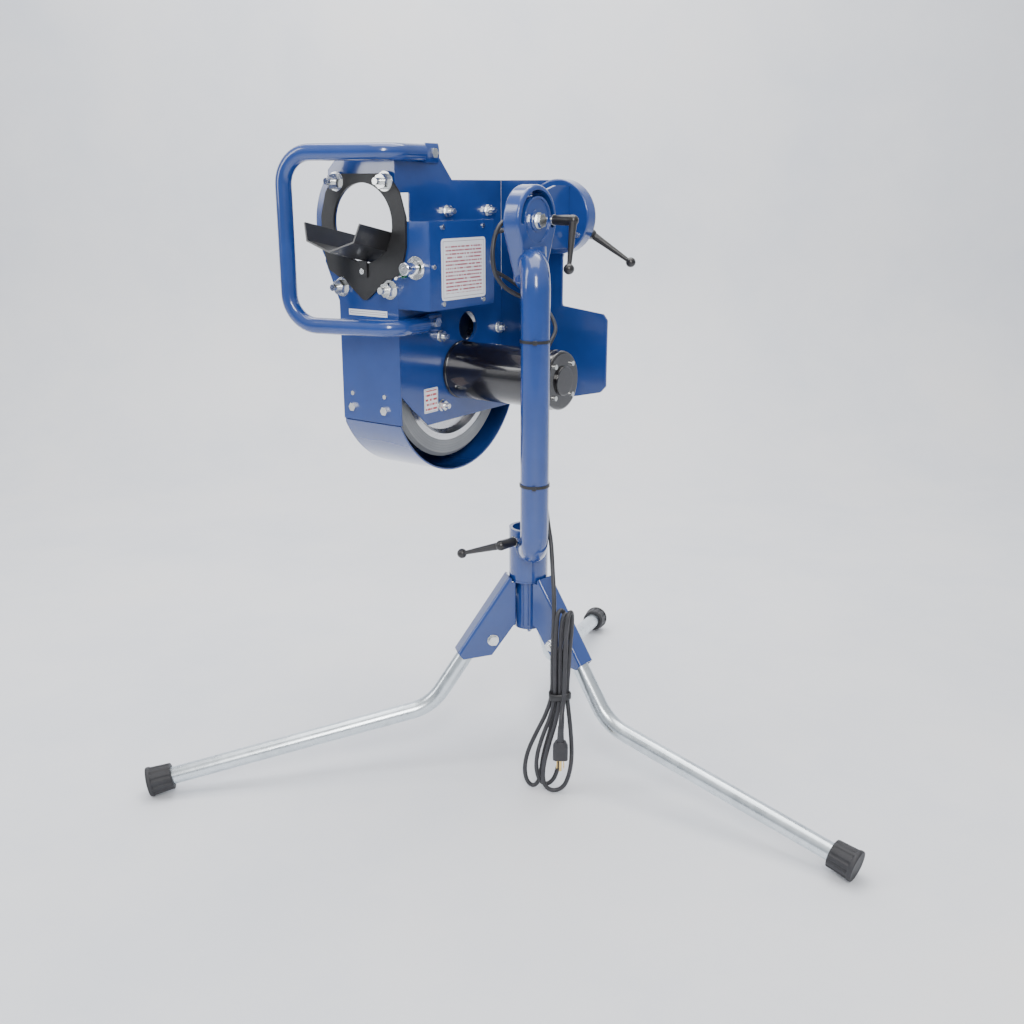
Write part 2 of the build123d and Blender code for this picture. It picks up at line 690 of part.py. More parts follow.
with BuildPart() as pressure_pad:
    with BuildSketch(Plane.XZ.offset(-5)):
        with Locations((wheel_mid_x, 966.5)):
            Rectangle(92, 37)
        with Locations((wheel_mid_x, 921)):
            Circle(40, mode=Mode.SUBTRACT)
    extrude(amount=-150)
    chamfer(pressure_pad.edges().filter_by(Axis.Y).group_by(Axis.Z)[-1], length=3)
keep(pressure_pad.part, "pressure_pad")

# bearing plate inside the right-hand side plate
with BuildPart() as bearing_plate:
    with BuildSketch(Plane.YZ.offset(right_x - sheet)):
        with Locations((79, 738)):
            RectangleRounded(200, 162, 12)
        with Locations((wheel_y, wheel_z)):
            Circle(bearing_r, mode=Mode.SUBTRACT)
        with Locations(bearing_bolts_yz):
            Circle(5.2, mode=Mode.SUBTRACT)
        with Locations((70, 814)):
            Circle(28, mode=Mode.SUBTRACT)
    extrude(amount=-5)
keep(bearing_plate.part, "bearing_plate")

# bolts through the right-hand side plate, those of the handle included
with BuildPart() as plate_bolts:
    for spot, grip in [(p, 4.0) for p in pad_bolts_yz] + [(p, 5.0) for p in bearing_bolts_yz]:
        with BuildSketch(Plane.YZ.offset(right_x - sheet - grip)):
            with Locations(spot):
                Circle(5)
        extrude(amount=sheet + grip + 19)
        with BuildSketch(Plane.YZ.offset(right_x - sheet - grip)):
            with Locations(spot):
                Circle(8)
        extrude(amount=-4)
        with BuildSketch(Plane.YZ.offset(right_x)):
            with Locations(spot):
                Circle(11)
        extrude(amount=2)
        with BuildSketch(Plane.YZ.offset(right_x + 2)):
            with Locations(spot):
                RegularPolygon(radius=9.8, side_count=6, rotation=20)
        extrude(amount=8)
    for spot in handle_bolts_yz:
        with BuildSketch(Plane.YZ.offset(right_x + 8.5)):
            with Locations(spot):
                RegularPolygon(radius=9.2, side_count=6)
        extrude(amount=6)
        with BuildSketch(Plane.YZ.offset(right_x + 8.5)):
            with Locations(spot):
                Circle(5)
        extrude(amount=-23)
        with BuildSketch(Plane.YZ.offset(right_x - sheet)):
            with Locations(spot):
                RegularPolygon(radius=9.2, side_count=6)
        extrude(amount=-8)
keep(plate_bolts.part, "plate_bolts")

# ---------------------------------------------------------------- throwing wheel and motor
with BuildPart() as tyre:
    with BuildSketch(Plane.XZ.offset(-wheel_y)):
        with BuildLine():
            tread = ThreePointArc((wheel_mid_x - tyre_half + 6, wheel_z + tyre_r),
                                  (wheel_mid_x, wheel_z + tyre_r - tread_dip),
                                  (wheel_mid_x + tyre_half - 6, wheel_z + tyre_r))
            Polyline(tread @ 1, (wheel_mid_x + tyre_half, wheel_z + tyre_r - 7),
                     (wheel_mid_x + tyre_half, wheel_z + rim_r), (wheel_mid_x - tyre_half, wheel_z + rim_r),
                     (wheel_mid_x - tyre_half, wheel_z + tyre_r - 7), tread @ 0)
        make_face()
    revolve(axis=Axis((0, wheel_y, wheel_z), (1, 0, 0)))
keep(tyre.part, "tyre")

rim_face_x = wheel_mid_x + tyre_half
with BuildPart() as wheel_rim:
    with BuildSketch(Plane.XZ.offset(-wheel_y)):
        with BuildLine():
            Polyline((rim_face_x - 1, wheel_z + rim_r), (rim_face_x - 1, wheel_z + rim_r - 12),
                     (rim_face_x - 14, wheel_z + rim_r - 20), (rim_face_x - 14, wheel_z + 30),
                     (rim_face_x + 4, wheel_z + 27), (rim_face_x + 4, wheel_z + shaft_r),
                     (rim_face_x - 46, wheel_z + shaft_r), (rim_face_x - 46, wheel_z + 26),
                     (rim_face_x - 22, wheel_z + 30), (rim_face_x - 22, wheel_z + rim_r - 20),
                     (rim_face_x - 99, wheel_z + rim_r - 10), (rim_face_x - 99, wheel_z + rim_r), close=True)
        make_face()
    revolve(axis=Axis((0, wheel_y, wheel_z), (1, 0, 0)))
keep(wheel_rim.part, "wheel_rim")

with BuildPart() as wheel_shaft:
    with BuildSketch(Plane.YZ.offset(rim_face_x - 48)):
        with Locations((wheel_y, wheel_z)):
            Circle(shaft_r)
    extrude(amount=34 - (rim_face_x - 48))
    chamfer(wheel_shaft.edges().group_by(Axis.X)[0], length=1.5)
keep(wheel_shaft.part, "wheel_shaft")

with BuildPart() as shaft_bearings:
    for bearing_x in (right_x - sheet - 5, 30):
        with BuildSketch(Plane.YZ.offset(bearing_x)):
            with Locations((wheel_y, wheel_z)):
                Circle(bearing_r)
                Circle(shaft_r + 0.05, mode=Mode.SUBTRACT)
        extrude(amount=10)
keep(shaft_bearings.part, "shaft_bearings")

motor_r = 54.0
motor_front_x = -180.0
motor_back_x = 26.0
with BuildPart() as motor_body:
    with BuildSketch(Plane.YZ.offset(right_x)):
        with Locations((wheel_y, wheel_z)):
            Circle(motor_r)
            Circle(motor_r - 9, mode=Mode.SUBTRACT)
    extrude(amount=motor_back_x - right_x)
keep(motor_body.part, "motor_body")

with BuildPart() as armature:
    with BuildSketch(Plane.YZ.offset(motor_front_x + 22)):
        with Locations((wheel_y, wheel_z)):
            Circle(motor_r - 13)
            Circle(shaft_r, mode=Mode.SUBTRACT)
    extrude(amount=130)
    with BuildSketch(Plane.YZ.offset(motor_front_x + 152)):
        with Locations((wheel_y, wheel_z)):
            Circle(22)
            Circle(shaft_r, mode=Mode.SUBTRACT)
    extrude(amount=32)
keep(armature.part, "armature")

with BuildPart() as motor_end_bell:
    with BuildSketch(Plane.YZ.offset(motor_back_x)):
        with Locations((wheel_y, wheel_z)):
            Circle(motor_r)
    extrude(amount=18)
    fillet(motor_end_bell.edges().group_by(Axis.X)[-1], radius=5)
    with BuildSketch(Plane.YZ.offset(motor_back_x + 18)):
        with Locations((wheel_y, wheel_z)):
            Circle(27)
    extrude(amount=5)
    fillet(motor_end_bell.edges().group_by(Axis.X)[-1], radius=2)
    with BuildSketch(Plane.YZ.offset(motor_back_x)):
        with Locations((wheel_y, wheel_z)):
            Circle(shaft_r + 1)
    extrude(amount=10, mode=Mode.SUBTRACT)
    with BuildSketch(Plane.YZ.offset(motor_back_x + 4)):
        with Locations((wheel_y, wheel_z)):
            Circle(bearing_r)
    extrude(amount=10, mode=Mode.SUBTRACT)
keep(motor_end_bell.part, "motor_end_bell")

# ---------------------------------------------------------------- steering handle
handle_x = right_x + handle_r + 2
with BuildPart() as handle:
    with BuildLine() as handle_path:
        FilletPolyline((handle_x, -80, handle_top_z), (handle_x, -164, handle_top_z),
                       (-375, -215, handle_top_z), (-375, -215, handle_low_z),
                       (handle_x, -164, handle_low_z), (handle_x, -80, handle_low_z),
                       radius=[42, 55, 55, 42])
    with BuildSketch(Plane(origin=handle_path.line @ 0, z_dir=handle_path.line % 0)):
        Circle(handle_r)
    sweep(path=handle_path.line)
    for bar_z in (handle_top_z, handle_low_z):
        with BuildSketch(Plane.XZ.offset(80)):
            with Locations((handle_x, bar_z)):
                Circle(handle_r)
        with BuildSketch(Plane.XZ.offset(56)):
            with Locations((right_x + 4.4, bar_z)):
                Ellipse(4.1, 17)
        loft()
        with BuildSketch(Plane.XZ.offset(56)):
            with Locations((right_x + 4.4, bar_z)):
                Ellipse(4.1, 17)
        extrude(amount=-36)
    with BuildSketch(Plane.YZ.offset(right_x - 5)):
        with Locations(handle_bolts_yz):
            Circle(5.2)
    extrude(amount=30, mode=Mode.SUBTRACT)
keep(handle.part, "handle")

# ---------------------------------------------------------------- control box
box_mid_y = (rear_y + box_far_y) / 2
box_mid_z = (box_low_z + box_top_z) / 2
box_len = box_far_y - rear_y
box_high = box_top_z - box_low_z
case_deep = box_out_x - box_sheet - right_x
cover_screws_yz = [(-97, 1004), (20, 1004), (-122, 938), (44, 938), (-97, 873), (20, 873)]
gland_supply = (-152.0, 985.0)
gland_motor = (-152.0, 925.0)
with BuildPart() as control_case:
    with BuildSketch(Plane.YZ.offset(right_x)):
        with Locations((box_mid_y, box_mid_z)):
            Rectangle(box_len, box_high)
    extrude(amount=case_deep)
    with BuildSketch(Plane.YZ.offset(right_x + box_sheet)):
        with Locations((box_mid_y, box_mid_z)):
            Rectangle(box_len - 2 * box_sheet, box_high - 2 * box_sheet)
    extrude(amount=case_deep, mode=Mode.SUBTRACT)
    with BuildSketch(Plane.YZ.offset(box_out_x - 2 * box_sheet)):
        with Locations((box_mid_y, box_mid_z)):
            Rectangle(box_len, box_high)
            Rectangle(box_len - 36, box_high - 36, mode=Mode.SUBTRACT)
        with Locations(cover_screws_yz):
            Circle(1.7, mode=Mode.SUBTRACT)
    extrude(amount=box_sheet)
    with BuildSketch(Plane.XZ.offset(-rear_y + 5)):
        with Locations((knob_x, knob_z)):
            Circle(4.9)
        with Locations((switch_x, switch_z)):
            Circle(6.1)
    extrude(amount=-20, mode=Mode.SUBTRACT)
    with BuildSketch(Plane.XZ.offset(-box_far_y - 5)):
        with Locations(gland_supply, gland_motor):
            Circle(7)
    extrude(amount=20, mode=Mode.SUBTRACT)
keep(control_case.part, "control_case")

with BuildPart() as control_cover:
    with BuildSketch(Plane.YZ.offset(box_out_x - box_sheet)):
        with Locations((box_mid_y, box_mid_z)):
            Rectangle(box_len, box_high)
        with Locations(cover_screws_yz):
            Circle(1.6, mode=Mode.SUBTRACT)
    extrude(amount=box_sheet)
keep(control_cover.part, "control_cover")

# small screws of the head: box cover, lower seam, feed tray and motor end
with BuildPart() as head_screws:
    with BuildSketch(Plane.YZ.offset(box_out_x)):
        with Locations(cover_screws_yz):
            Circle(4)
    extrude(amount=2.2)
    with BuildSketch(Plane.YZ.offset(box_out_x)):
        with Locations(cover_screws_yz):
            Circle(1.6)
    extrude(amount=-9)
    with BuildSketch(Plane.XZ.offset(-rear_y)):
        with Locations(seam_screws_xz):
            Circle(4)
    extrude(amount=2.4)
    with BuildSketch(Plane.XZ.offset(-rear_y)):
        with Locations(seam_screws_xz):
            Circle(2)
    extrude(amount=-4)
    with BuildSketch(Plane.XZ.offset(-rear_y + 8)):
        with Locations((feed_x, 926)):
            Circle(5)
    extrude(amount=3)
    with BuildSketch(Plane.XZ.offset(-rear_y + 8)):
        with Locations((feed_x, 926)):
            Circle(2.5)
    extrude(amount=-8)
    with BuildSketch(Plane.YZ.offset(motor_back_x + 18)):
        with Locations((wheel_y, wheel_z)):
            with PolarLocations(40, 4, start_angle=45):
                Circle(4.5)
    extrude(amount=4)
keep(head_screws.part, "head_screws")

with BuildPart() as notice_plates:
    with BuildSketch(Plane.YZ.offset(box_out_x)):
        with Locations((-38, 931.5)):
            RectangleRounded(128, 106, 3)
    extrude(amount=0.6)
    with BuildSketch(Plane.YZ.offset(right_x)):
        with Locations((-47, 687)):
            RectangleRounded(40, 46, 2)
    extrude(amount=0.6)
    with BuildSketch(Plane.XZ.offset(-rear_y)):
        with Locations((-262, 852)):
            RectangleRounded(92, 11, 1.5)
    extrude(amount=0.6)
keep(notice_plates.part, "notice_plates")

with BuildPart() as knob_bezel:
    with BuildSketch(Plane.XZ.offset(-rear_y)):
        with Locations((knob_x, knob_z)):
            Circle(20)
            Circle(4.9, mode=Mode.SUBTRACT)
    extrude(amount=2.5)
    with BuildSketch(Plane.XZ.offset(-rear_y + 2.5)):
        with Locations((knob_x, knob_z)):
            Circle(7)
            Circle(4.9, mode=Mode.SUBTRACT)
    extrude(amount=2.5)
keep(knob_bezel.part, "knob_bezel")

with BuildPart() as speed_knob:
    with BuildSketch(Plane.XZ.offset(-rear_y + 8)):
        with Locations((knob_x, knob_z)):
            Circle(11)
    extrude(amount=26)
    chamfer(speed_knob.edges().group_by(Axis.Y)[0], length=1)
    with BuildSketch(Plane.XZ.offset(-rear_y + 8)):
        with Locations((knob_x, knob_z)):
            Circle(3)
    extrude(amount=-18)
    with BuildSketch(Plane.XZ.offset(-rear_y + 34)):
        with Locations((knob_x, knob_z + 6.5)):
            Rectangle(1.6, 7)
    extrude(amount=-1.2, mode=Mode.SUBTRACT)
keep(speed_knob.part, "speed_knob")

# bat-shaped toggle, at rest in its lower (off) place
switch_pivot = (switch_x, rear_y - 2, switch_z)
switch_rest = 14.0
toggle_dir = Vector(0, -cos(radians(switch_rest)), -sin(radians(switch_rest)))
toggle_base = Plane(origin=switch_pivot, z_dir=toggle_dir)
with BuildPart() as switch_toggle:
    with Locations(Location(switch_pivot)):
        Sphere(2.6)
    with BuildSketch(toggle_base):
        Circle(1.7)
    with BuildSketch(toggle_base.offset(22)):
        Circle(3.2)
    loft()
    with Locations(Location(Vector(switch_pivot) + toggle_dir * 22)):
        Sphere(3.4)
keep(switch_toggle.part, "switch_toggle")

# inside the box: the speed control, the switch body and the controller board
with BuildPart() as electronics:
    with BuildSketch(Plane.XZ.offset(-rear_y - box_sheet)):
        with Locations((knob_x, knob_z)):
            Circle(12)
            Circle(3.1, mode=Mode.SUBTRACT)
    extrude(amount=-14)
    with BuildSketch(Plane.XZ.offset(-rear_y - box_sheet)):
        with Locations((knob_x, knob_z)):
            Circle(4.85)
            Circle(3.1, mode=Mode.SUBTRACT)
    extrude(amount=8)
    with BuildSketch(Plane.XZ.offset(-rear_y - box_sheet)):
        with Locations((switch_x - 4, switch_z - 4)):
            Rectangle(19, 30)
    extrude(amount=-20)
    with BuildSketch(Plane.XZ.offset(-rear_y - box_sheet)):
        with Locations((switch_x, switch_z)):
            Circle(6)
    extrude(amount=box_sheet + 7)
    with BuildSketch(Plane.XZ.offset(-rear_y + 9)):
        with Locations((switch_x, switch_z)):
            Circle(4.4)
    extrude(amount=-20, mode=Mode.SUBTRACT)
    with Locations((right_x + 14, -36, 940)):
        Box(1.6, 112, 118)
    with Locations((right_x + 22, -8, 944)):
        Box(15, 30, 90)
    with Locations((right_x + 23.5, -66, 968), (right_x + 23.5, -66, 934)):
        Box(18, 24, 24)
    for stand_y in (-85, 12):
        for stand_z in (889, 991):
            with BuildSketch(Plane.YZ.offset(right_x + box_sheet)):
                with Locations((stand_y, stand_z)):
                    Circle(3.5)
            extrude(amount=11.5)
keep(electronics.part, "electronics")

with BuildPart() as lead_glands:
    with BuildSketch(Plane.XZ.offset(-box_far_y)):
        with Locations(gland_supply, gland_motor):
            Circle(11)
    extrude(amount=-6)
    with BuildSketch(Plane.XZ.offset(-box_far_y - 6)):
        with Locations(gland_supply, gland_motor):
            Circle(8)
    extrude(amount=-9)
    with BuildSketch(Plane.XZ.offset(-box_far_y)):
        with Locations(gland_supply, gland_motor):
            Circle(7)
    extrude(amount=box_sheet + 4)
    with BuildSketch(Plane.XZ.offset(-box_far_y + 10)):
        with Locations(gland_supply, gland_motor):
            Circle(lead_r)
    extrude(amount=-30, mode=Mode.SUBTRACT)
keep(lead_glands.part, "lead_glands")


# ---------------------------------------------------------------- leads
def lead_tube(points, r, name):
    """A round lead along straight runs, each corner rounded as far as its runs allow."""
    spots = [Vector(*p) for p in points]
    radii = []
    for before, at, after in zip(spots, spots[1:], spots[2:]):
        turn = (at - before).get_angle(after - at)
        shorter = min((at - before).length, (after - at).length)
        radii.append(0.45 * shorter / tan(radians(turn / 2)))
    with BuildPart() as lead:
        with BuildLine():
            route = FilletPolyline(*points, radius=radii)
        with BuildSketch(Plane(origin=route @ 0, z_dir=route % 0)):
            Circle(r)
        sweep(path=route)
    keep(lead.part, name)
    print(name, "length", round(route.length, 1), "radii", [round(v) for v in radii],
          "volume over section times length", round(lead.part.volume / (pi * r * r * route.length), 4))
    return route.length


# from the control box to the point where the two pivot axes all but meet
lead_tube([(-152, 56, 985), (-152, 90, 986), (-140, 118, 992), (-112, 131, 1002), (-80, 124, 1012),
           (-57, 100, 1017), (-47, 70, 1018), (-45.6, 38, 1017.6)], lead_r, "lead_head")
# along the roll axis to the pitch axis, held in the clip
lead_tube([(-45.5, 35, 1017.5), (-45.2, 20, 1017.2), (-45.5, 4, 1016.4)], lead_r, "lead_pivot")
# past the knuckle's shoulder, round behind the neck and down the yoke
lead_tube([(-45.6, -3, 1015.6), (-46, -24, 1009), (-46, -42, 988), (-45, -50, 958), (-43, -46, 926),
           (-38, -26, 902), (-26, -6, 888), (-6, 6, 880), (18, 6, 874), (38, -6, 867),
           (50, -18, 856), (lead_side.X + 0.1, lead_side.Y, 838), (lead_side.X, lead_side.Y - 0.1, 800),
           (lead_side.X + 0.1, lead_side.Y, 740), (lead_side.X, lead_side.Y - 0.1, 680),
           (lead_side.X + 0.1, lead_side.Y, 620), (lead_side.X, lead_side.Y - 0.1, 575),
           (lead_side.X + 0.1, lead_side.Y, 545)], lead_r, "lead_mast")
# motor supply
lead_tube([(-152, 56, 925), (-152, 90, 922), (-134, 118, 905), (-100, 130, 882), (-60, 128, 860),
           (-24, 112, 838), (0, 88, 818), (8, 62, 804), (8, 46, 789)], 3.6, "lead_motor")

# clip that holds the lead off the cheek, between the pitch nut and the lock stud
with BuildPart() as lead_clip:
    with BuildSketch(Plane.XZ.offset(-18)):
        with Locations((-45.3, 1017.3)):
            Circle(lead_r + 1.8)
        with Locations((-34.5, 1017.3)):
            Rectangle(21, 5)
        with Locations((-45.3, 1017.3)):
            Circle(lead_r + 0.3, mode=Mode.SUBTRACT)
    extrude(amount=-10)
keep(lead_clip.part, "lead_clip")

# free end: from the lower tie down to the hank, which stands on the floor and leans on nothing
across = Vector(0.819, 0.574, 0)
front = Vector(0.574, -0.819, 0)
hank_top = Vector(125, -71, 343)
hank_foot = Vector(121, -112, 4)
hank_axis = (hank_foot - hank_top).normalized()
hank_run = (hank_foot - hank_top).length


def drop_point(sideways, forward, z):
    """A point of the free lead, placed from the top of the hank."""
    at = hank_top + across * sideways + front * forward
    return (at.X, at.Y, z)


lead_tube([(lead_side.X + 0.2, lead_side.Y, 543), (56.5, -26.2, 507), (63.4, -28.6, 478),
           (71.9, -33.2, 452), (80.6, -43.0, 427), drop_point(-19, -30, 400),
           drop_point(-17.5, -18, 376), drop_point(-16, -6, 353)], lead_r, "cord_drop")

hank_sections = [(0.0, 15, 9), (0.05, 20, 13), (0.3, 20, 14), (0.47, 18, 12), (0.75, 38, 14),
                 (0.9, 47, 14), (1.0, 33, 10)]
with BuildPart() as cord_hank:
    for share, half_wide, half_thick in hank_sections:
        with BuildSketch(Plane(origin=hank_top + hank_axis * (share * hank_run), x_dir=across,
                               z_dir=hank_axis)):
            Ellipse(half_wide, half_thick)
    loft()
    split(bisect_by=Plane.XY.offset(0.5), keep=Keep.TOP)
keep(cord_hank.part, "cord_hank")

# plug, hanging in front of the hank on the lead's last stretch
plug_z = 76.0
plug_high = 35.0
relief_high = 30.0
plug_at = Vector(148.5, -113.5, plug_z)
with BuildPart() as plug_body:
    with BuildSketch(Plane.XY.offset(plug_z)):
        with Locations((plug_at.X, plug_at.Y)):
            RectangleRounded(27, 20, 6, rotation=35)
    extrude(amount=plug_high - 9)
    with BuildSketch(Plane.XY.offset(plug_z + plug_high - 9)):
        with Locations((plug_at.X, plug_at.Y)):
            RectangleRounded(27, 20, 6, rotation=35)
    with BuildSketch(Plane.XY.offset(plug_z + plug_high)):
        with Locations((plug_at.X, plug_at.Y)):
            RectangleRounded(19, 15, 6, rotation=35)
    loft()
    with BuildSketch(Plane.XY.offset(plug_z + plug_high)):
        with Locations((plug_at.X, plug_at.Y)):
            Circle(6.6)
    with BuildSketch(Plane.XY.offset(plug_z + plug_high + relief_high)):
        with Locations((plug_at.X, plug_at.Y)):
            Circle(5)
    loft()
keep(plug_body.part, "plug_body")

with BuildPart() as plug_prongs:
    for reach in (-6.3, 6.3):
        with BuildSketch(Plane.XY.offset(plug_z)):
            with Locations((plug_at.X + across.X * reach, plug_at.Y + across.Y * reach)):
                Rectangle(1.6, 6.4, rotation=35)
        extrude(amount=-18)
    with BuildSketch(Plane.XY.offset(plug_z)):
        with Locations((plug_at.X + front.X * 6, plug_at.Y + front.Y * 6)):
            Circle(2.4)
    extrude(amount=-21)
keep(plug_prongs.part, "plug_prongs")

tail_z = plug_z + plug_high + relief_high
lead_tube([(plug_at.X, plug_at.Y, tail_z), (plug_at.X - 0.2, plug_at.Y + 0.4, tail_z + 17),
           (plug_at.X - 2, plug_at.Y + 4, tail_z + 35), (plug_at.X - 6, plug_at.Y + 10, tail_z + 52),
           (plug_at.X - 12, plug_at.Y + 18, tail_z + 67)], lead_r, "cord_tail")

# ---------------------------------------------------------------- write
if __name__ == "__main__":
    to_origin = Location((-middle_x, -middle_y, 0))
    low = Vector(1e9, 1e9, 1e9)
    high = Vector(-1e9, -1e9, -1e9)
    for part in kept:
        moved = part.moved(to_origin)
        moved.label = part.label
        export_step(moved, f"parts/{part.label}.step")
        if not part.label.startswith(("cord_", "plug_")):
            box = moved.bounding_box()
            low = Vector(min(low.X, box.min.X), min(low.Y, box.min.Y), min(low.Z, box.min.Z))
            high = Vector(max(high.X, box.max.X), max(high.Y, box.max.Y), max(high.Z, box.max.Z))
    print(len(kept), "pieces; box", low, high, "middle", (low + high) * 0.5)
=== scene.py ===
"""Looks of a single-wheel baseball pitching machine on a bent-tube tripod."""

import json
from math import cos, pi, radians, sin

import bmesh
import bpy
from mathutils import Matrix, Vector, noise


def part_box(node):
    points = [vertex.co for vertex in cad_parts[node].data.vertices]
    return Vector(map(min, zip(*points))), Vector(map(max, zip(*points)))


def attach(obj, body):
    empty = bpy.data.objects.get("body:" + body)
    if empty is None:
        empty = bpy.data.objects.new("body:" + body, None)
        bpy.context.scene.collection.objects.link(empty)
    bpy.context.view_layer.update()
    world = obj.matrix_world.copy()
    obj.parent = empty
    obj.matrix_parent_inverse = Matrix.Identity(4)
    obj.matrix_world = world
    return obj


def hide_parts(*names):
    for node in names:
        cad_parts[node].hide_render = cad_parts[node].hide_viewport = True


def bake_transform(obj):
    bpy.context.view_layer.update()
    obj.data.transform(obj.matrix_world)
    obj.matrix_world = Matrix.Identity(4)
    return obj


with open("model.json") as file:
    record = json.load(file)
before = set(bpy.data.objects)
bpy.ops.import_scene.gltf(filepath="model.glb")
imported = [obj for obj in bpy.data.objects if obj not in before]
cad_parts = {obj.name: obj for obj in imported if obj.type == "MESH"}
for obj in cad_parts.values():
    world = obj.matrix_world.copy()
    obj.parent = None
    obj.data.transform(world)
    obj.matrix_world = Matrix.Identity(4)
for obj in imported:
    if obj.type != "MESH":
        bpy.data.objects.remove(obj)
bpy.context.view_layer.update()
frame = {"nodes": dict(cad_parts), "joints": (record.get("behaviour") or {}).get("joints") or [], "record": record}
nodes = frame["nodes"]
scene = bpy.context.scene

# ---------------------------------------------------------------- places, from the frame
joint = {j["name"]: Vector(j["pos_m"]) for j in frame["joints"]}
hub = Vector((joint["yaw"].x, joint["yaw"].y, 0.0))  # tripod axis, on the floor
wheel_axis = joint["wheel_spin"]
UP = Vector((0, 0, 1))


def at(x, y, z):
    """A place measured from the foot of the tripod axis."""
    return hub + Vector((x, y, z))


# ---------------------------------------------------------------- camera
camera = bpy.data.objects.new("camera", bpy.data.cameras.new("camera"))
camera.data.sensor_width = 36.0
camera.data.lens = 39.06
camera.data.clip_end = 50.0
camera.location = at(1.1132, -1.6439, 1.072)
look = Vector((-0.550381, 0.786026, -0.281504))
camera.rotation_euler = look.to_track_quat("-Z", "Y").to_euler()
scene.collection.objects.link(camera)
scene.camera = camera


# ---------------------------------------------------------------- materials
def shader(name, color, roughness, metallic=0.0):
    """A new material with a Principled shader; returns (material, tree, shader node)."""
    material = bpy.data.materials.new(name)
    material.use_nodes = True
    tree = material.node_tree
    principled = tree.nodes["Principled BSDF"]
    principled.inputs["Base Color"].default_value = (*color, 1.0)
    principled.inputs["Roughness"].default_value = roughness
    principled.inputs["Metallic"].default_value = metallic
    return material, tree, principled


def node(tree, kind, **settings):
    """A node with its own settings, and its inputs by name."""
    made = tree.nodes.new(kind)
    for key, value in settings.items():
        if hasattr(made, key):
            setattr(made, key, value)
        else:
            made.inputs[key.replace("_", " ")].default_value = value
    return made


def place(tree, scale=(1, 1, 1), origin=(0, 0, 0)):
    """Object coordinates, scaled about an origin; objects are in metres."""
    coordinates = node(tree, "ShaderNodeTexCoord")
    shifted = node(tree, "ShaderNodeVectorMath", operation="SUBTRACT")
    shifted.inputs[1].default_value = origin
    tree.links.new(coordinates.outputs["Object"], shifted.inputs[0])
    scaled = node(tree, "ShaderNodeVectorMath", operation="MULTIPLY")
    scaled.inputs[1].default_value = scale
    tree.links.new(shifted.outputs[0], scaled.inputs[0])
    return scaled.outputs[0]


def grain(tree, vector, scale, detail=4.0, rough=0.55):
    """A noise whose scale is in features per metre."""
    made = node(tree, "ShaderNodeTexNoise", Scale=scale, Detail=detail, Roughness=rough)
    tree.links.new(vector, made.inputs["Vector"])
    return made.outputs[0]


def ramp(tree, source, stops):
    """A colour ramp of (position, colour) stops."""
    made = node(tree, "ShaderNodeValToRGB")
    elements = made.color_ramp.elements
    while len(elements) < len(stops):
        elements.new(0.5)
    for element, (position, color) in zip(elements, stops):
        element.position = position
        element.color = (*color, 1.0) if len(color) == 3 else color
    tree.links.new(source, made.inputs[0])
    return made.outputs[0]


def span(tree, source, low, high):
    """Maps a 0 to 1 value to low..high."""
    made = node(tree, "ShaderNodeMapRange")
    made.inputs["To Min"].default_value = low
    made.inputs["To Max"].default_value = high
    tree.links.new(source, made.inputs["Value"])
    return made.outputs[0]


def bump(tree, principled, height, distance, strength=1.0, edge=None):
    """Bump of a height in metres, over an optional rounded edge."""
    made = node(tree, "ShaderNodeBump", Strength=strength, Distance=distance)
    tree.links.new(height, made.inputs["Height"])
    if edge:
        soft = node(tree, "ShaderNodeBevel", samples=4, Radius=edge)
        tree.links.new(soft.outputs[0], made.inputs["Normal"])
    tree.links.new(made.outputs[0], principled.inputs["Normal"])


def tinted(color, factor):
    return tuple(min(1.0, c * factor) for c in color)


def enamel(name, color, roughness=0.24, coat=0.7, edge=0.0008):
    """Gloss paint: faint orange peel, uneven gloss and a little dust."""
    material, tree, principled = shader(name, color, roughness)
    where = place(tree)
    cloud = grain(tree, where, 9.0, 5.0)
    shade = ramp(tree, cloud, [(0.3, tinted(color, 0.86)), (0.7, tinted(color, 1.12))])
    tree.links.new(shade, principled.inputs["Base Color"])
    tree.links.new(span(tree, grain(tree, where, 40.0), roughness - 0.06, roughness + 0.1),
                   principled.inputs["Roughness"])
    bump(tree, principled, grain(tree, where, 420.0, 2.0), 0.00012, 0.35, edge)
    principled.inputs["Coat Weight"].default_value = coat
    principled.inputs["Coat Roughness"].default_value = 0.09
    return material


def plated(name, color, roughness, spangle=0.0, streak=(1, 1, 1), edge=0.0005):
    """Plated or ground steel, with cloudy zinc or drawn streaks."""
    material, tree, principled = shader(name, color, roughness, 1.0)
    where = place(tree, streak)
    cloud = grain(tree, where, 26.0, 6.0, 0.65)
    shade = ramp(tree, cloud, [(0.25, tinted(color, 0.78)), (0.5, color), (0.8, tinted(color, 1.16))])
    tree.links.new(shade, principled.inputs["Base Color"])
    tree.links.new(span(tree, cloud, roughness - 0.08, roughness + 0.14), principled.inputs["Roughness"])
    height = grain(tree, where, 260.0, 3.0)
    if spangle:
        flakes = node(tree, "ShaderNodeTexVoronoi", Scale=spangle)
        tree.links.new(where, flakes.inputs["Vector"])
        height = flakes.outputs["Distance"]
    bump(tree, principled, height, 0.00015, 0.3, edge)
    return material


def rubbery(name, color, roughness=0.6, scale=500.0, dust=1.7):
    """Moulded rubber or plastic: fine matt grain and pale handling dust."""
    material, tree, principled = shader(name, color, roughness)
    where = place(tree)
    cloud = grain(tree, where, 30.0, 6.0, 0.7)
    shade = ramp(tree, cloud, [(0.35, color), (0.72, tinted(color, dust))])
    tree.links.new(shade, principled.inputs["Base Color"])
    tree.links.new(span(tree, cloud, roughness - 0.12, roughness + 0.14), principled.inputs["Roughness"])
    bump(tree, principled, grain(tree, where, scale, 3.0), 0.0002, 0.5, 0.0006)
    return material


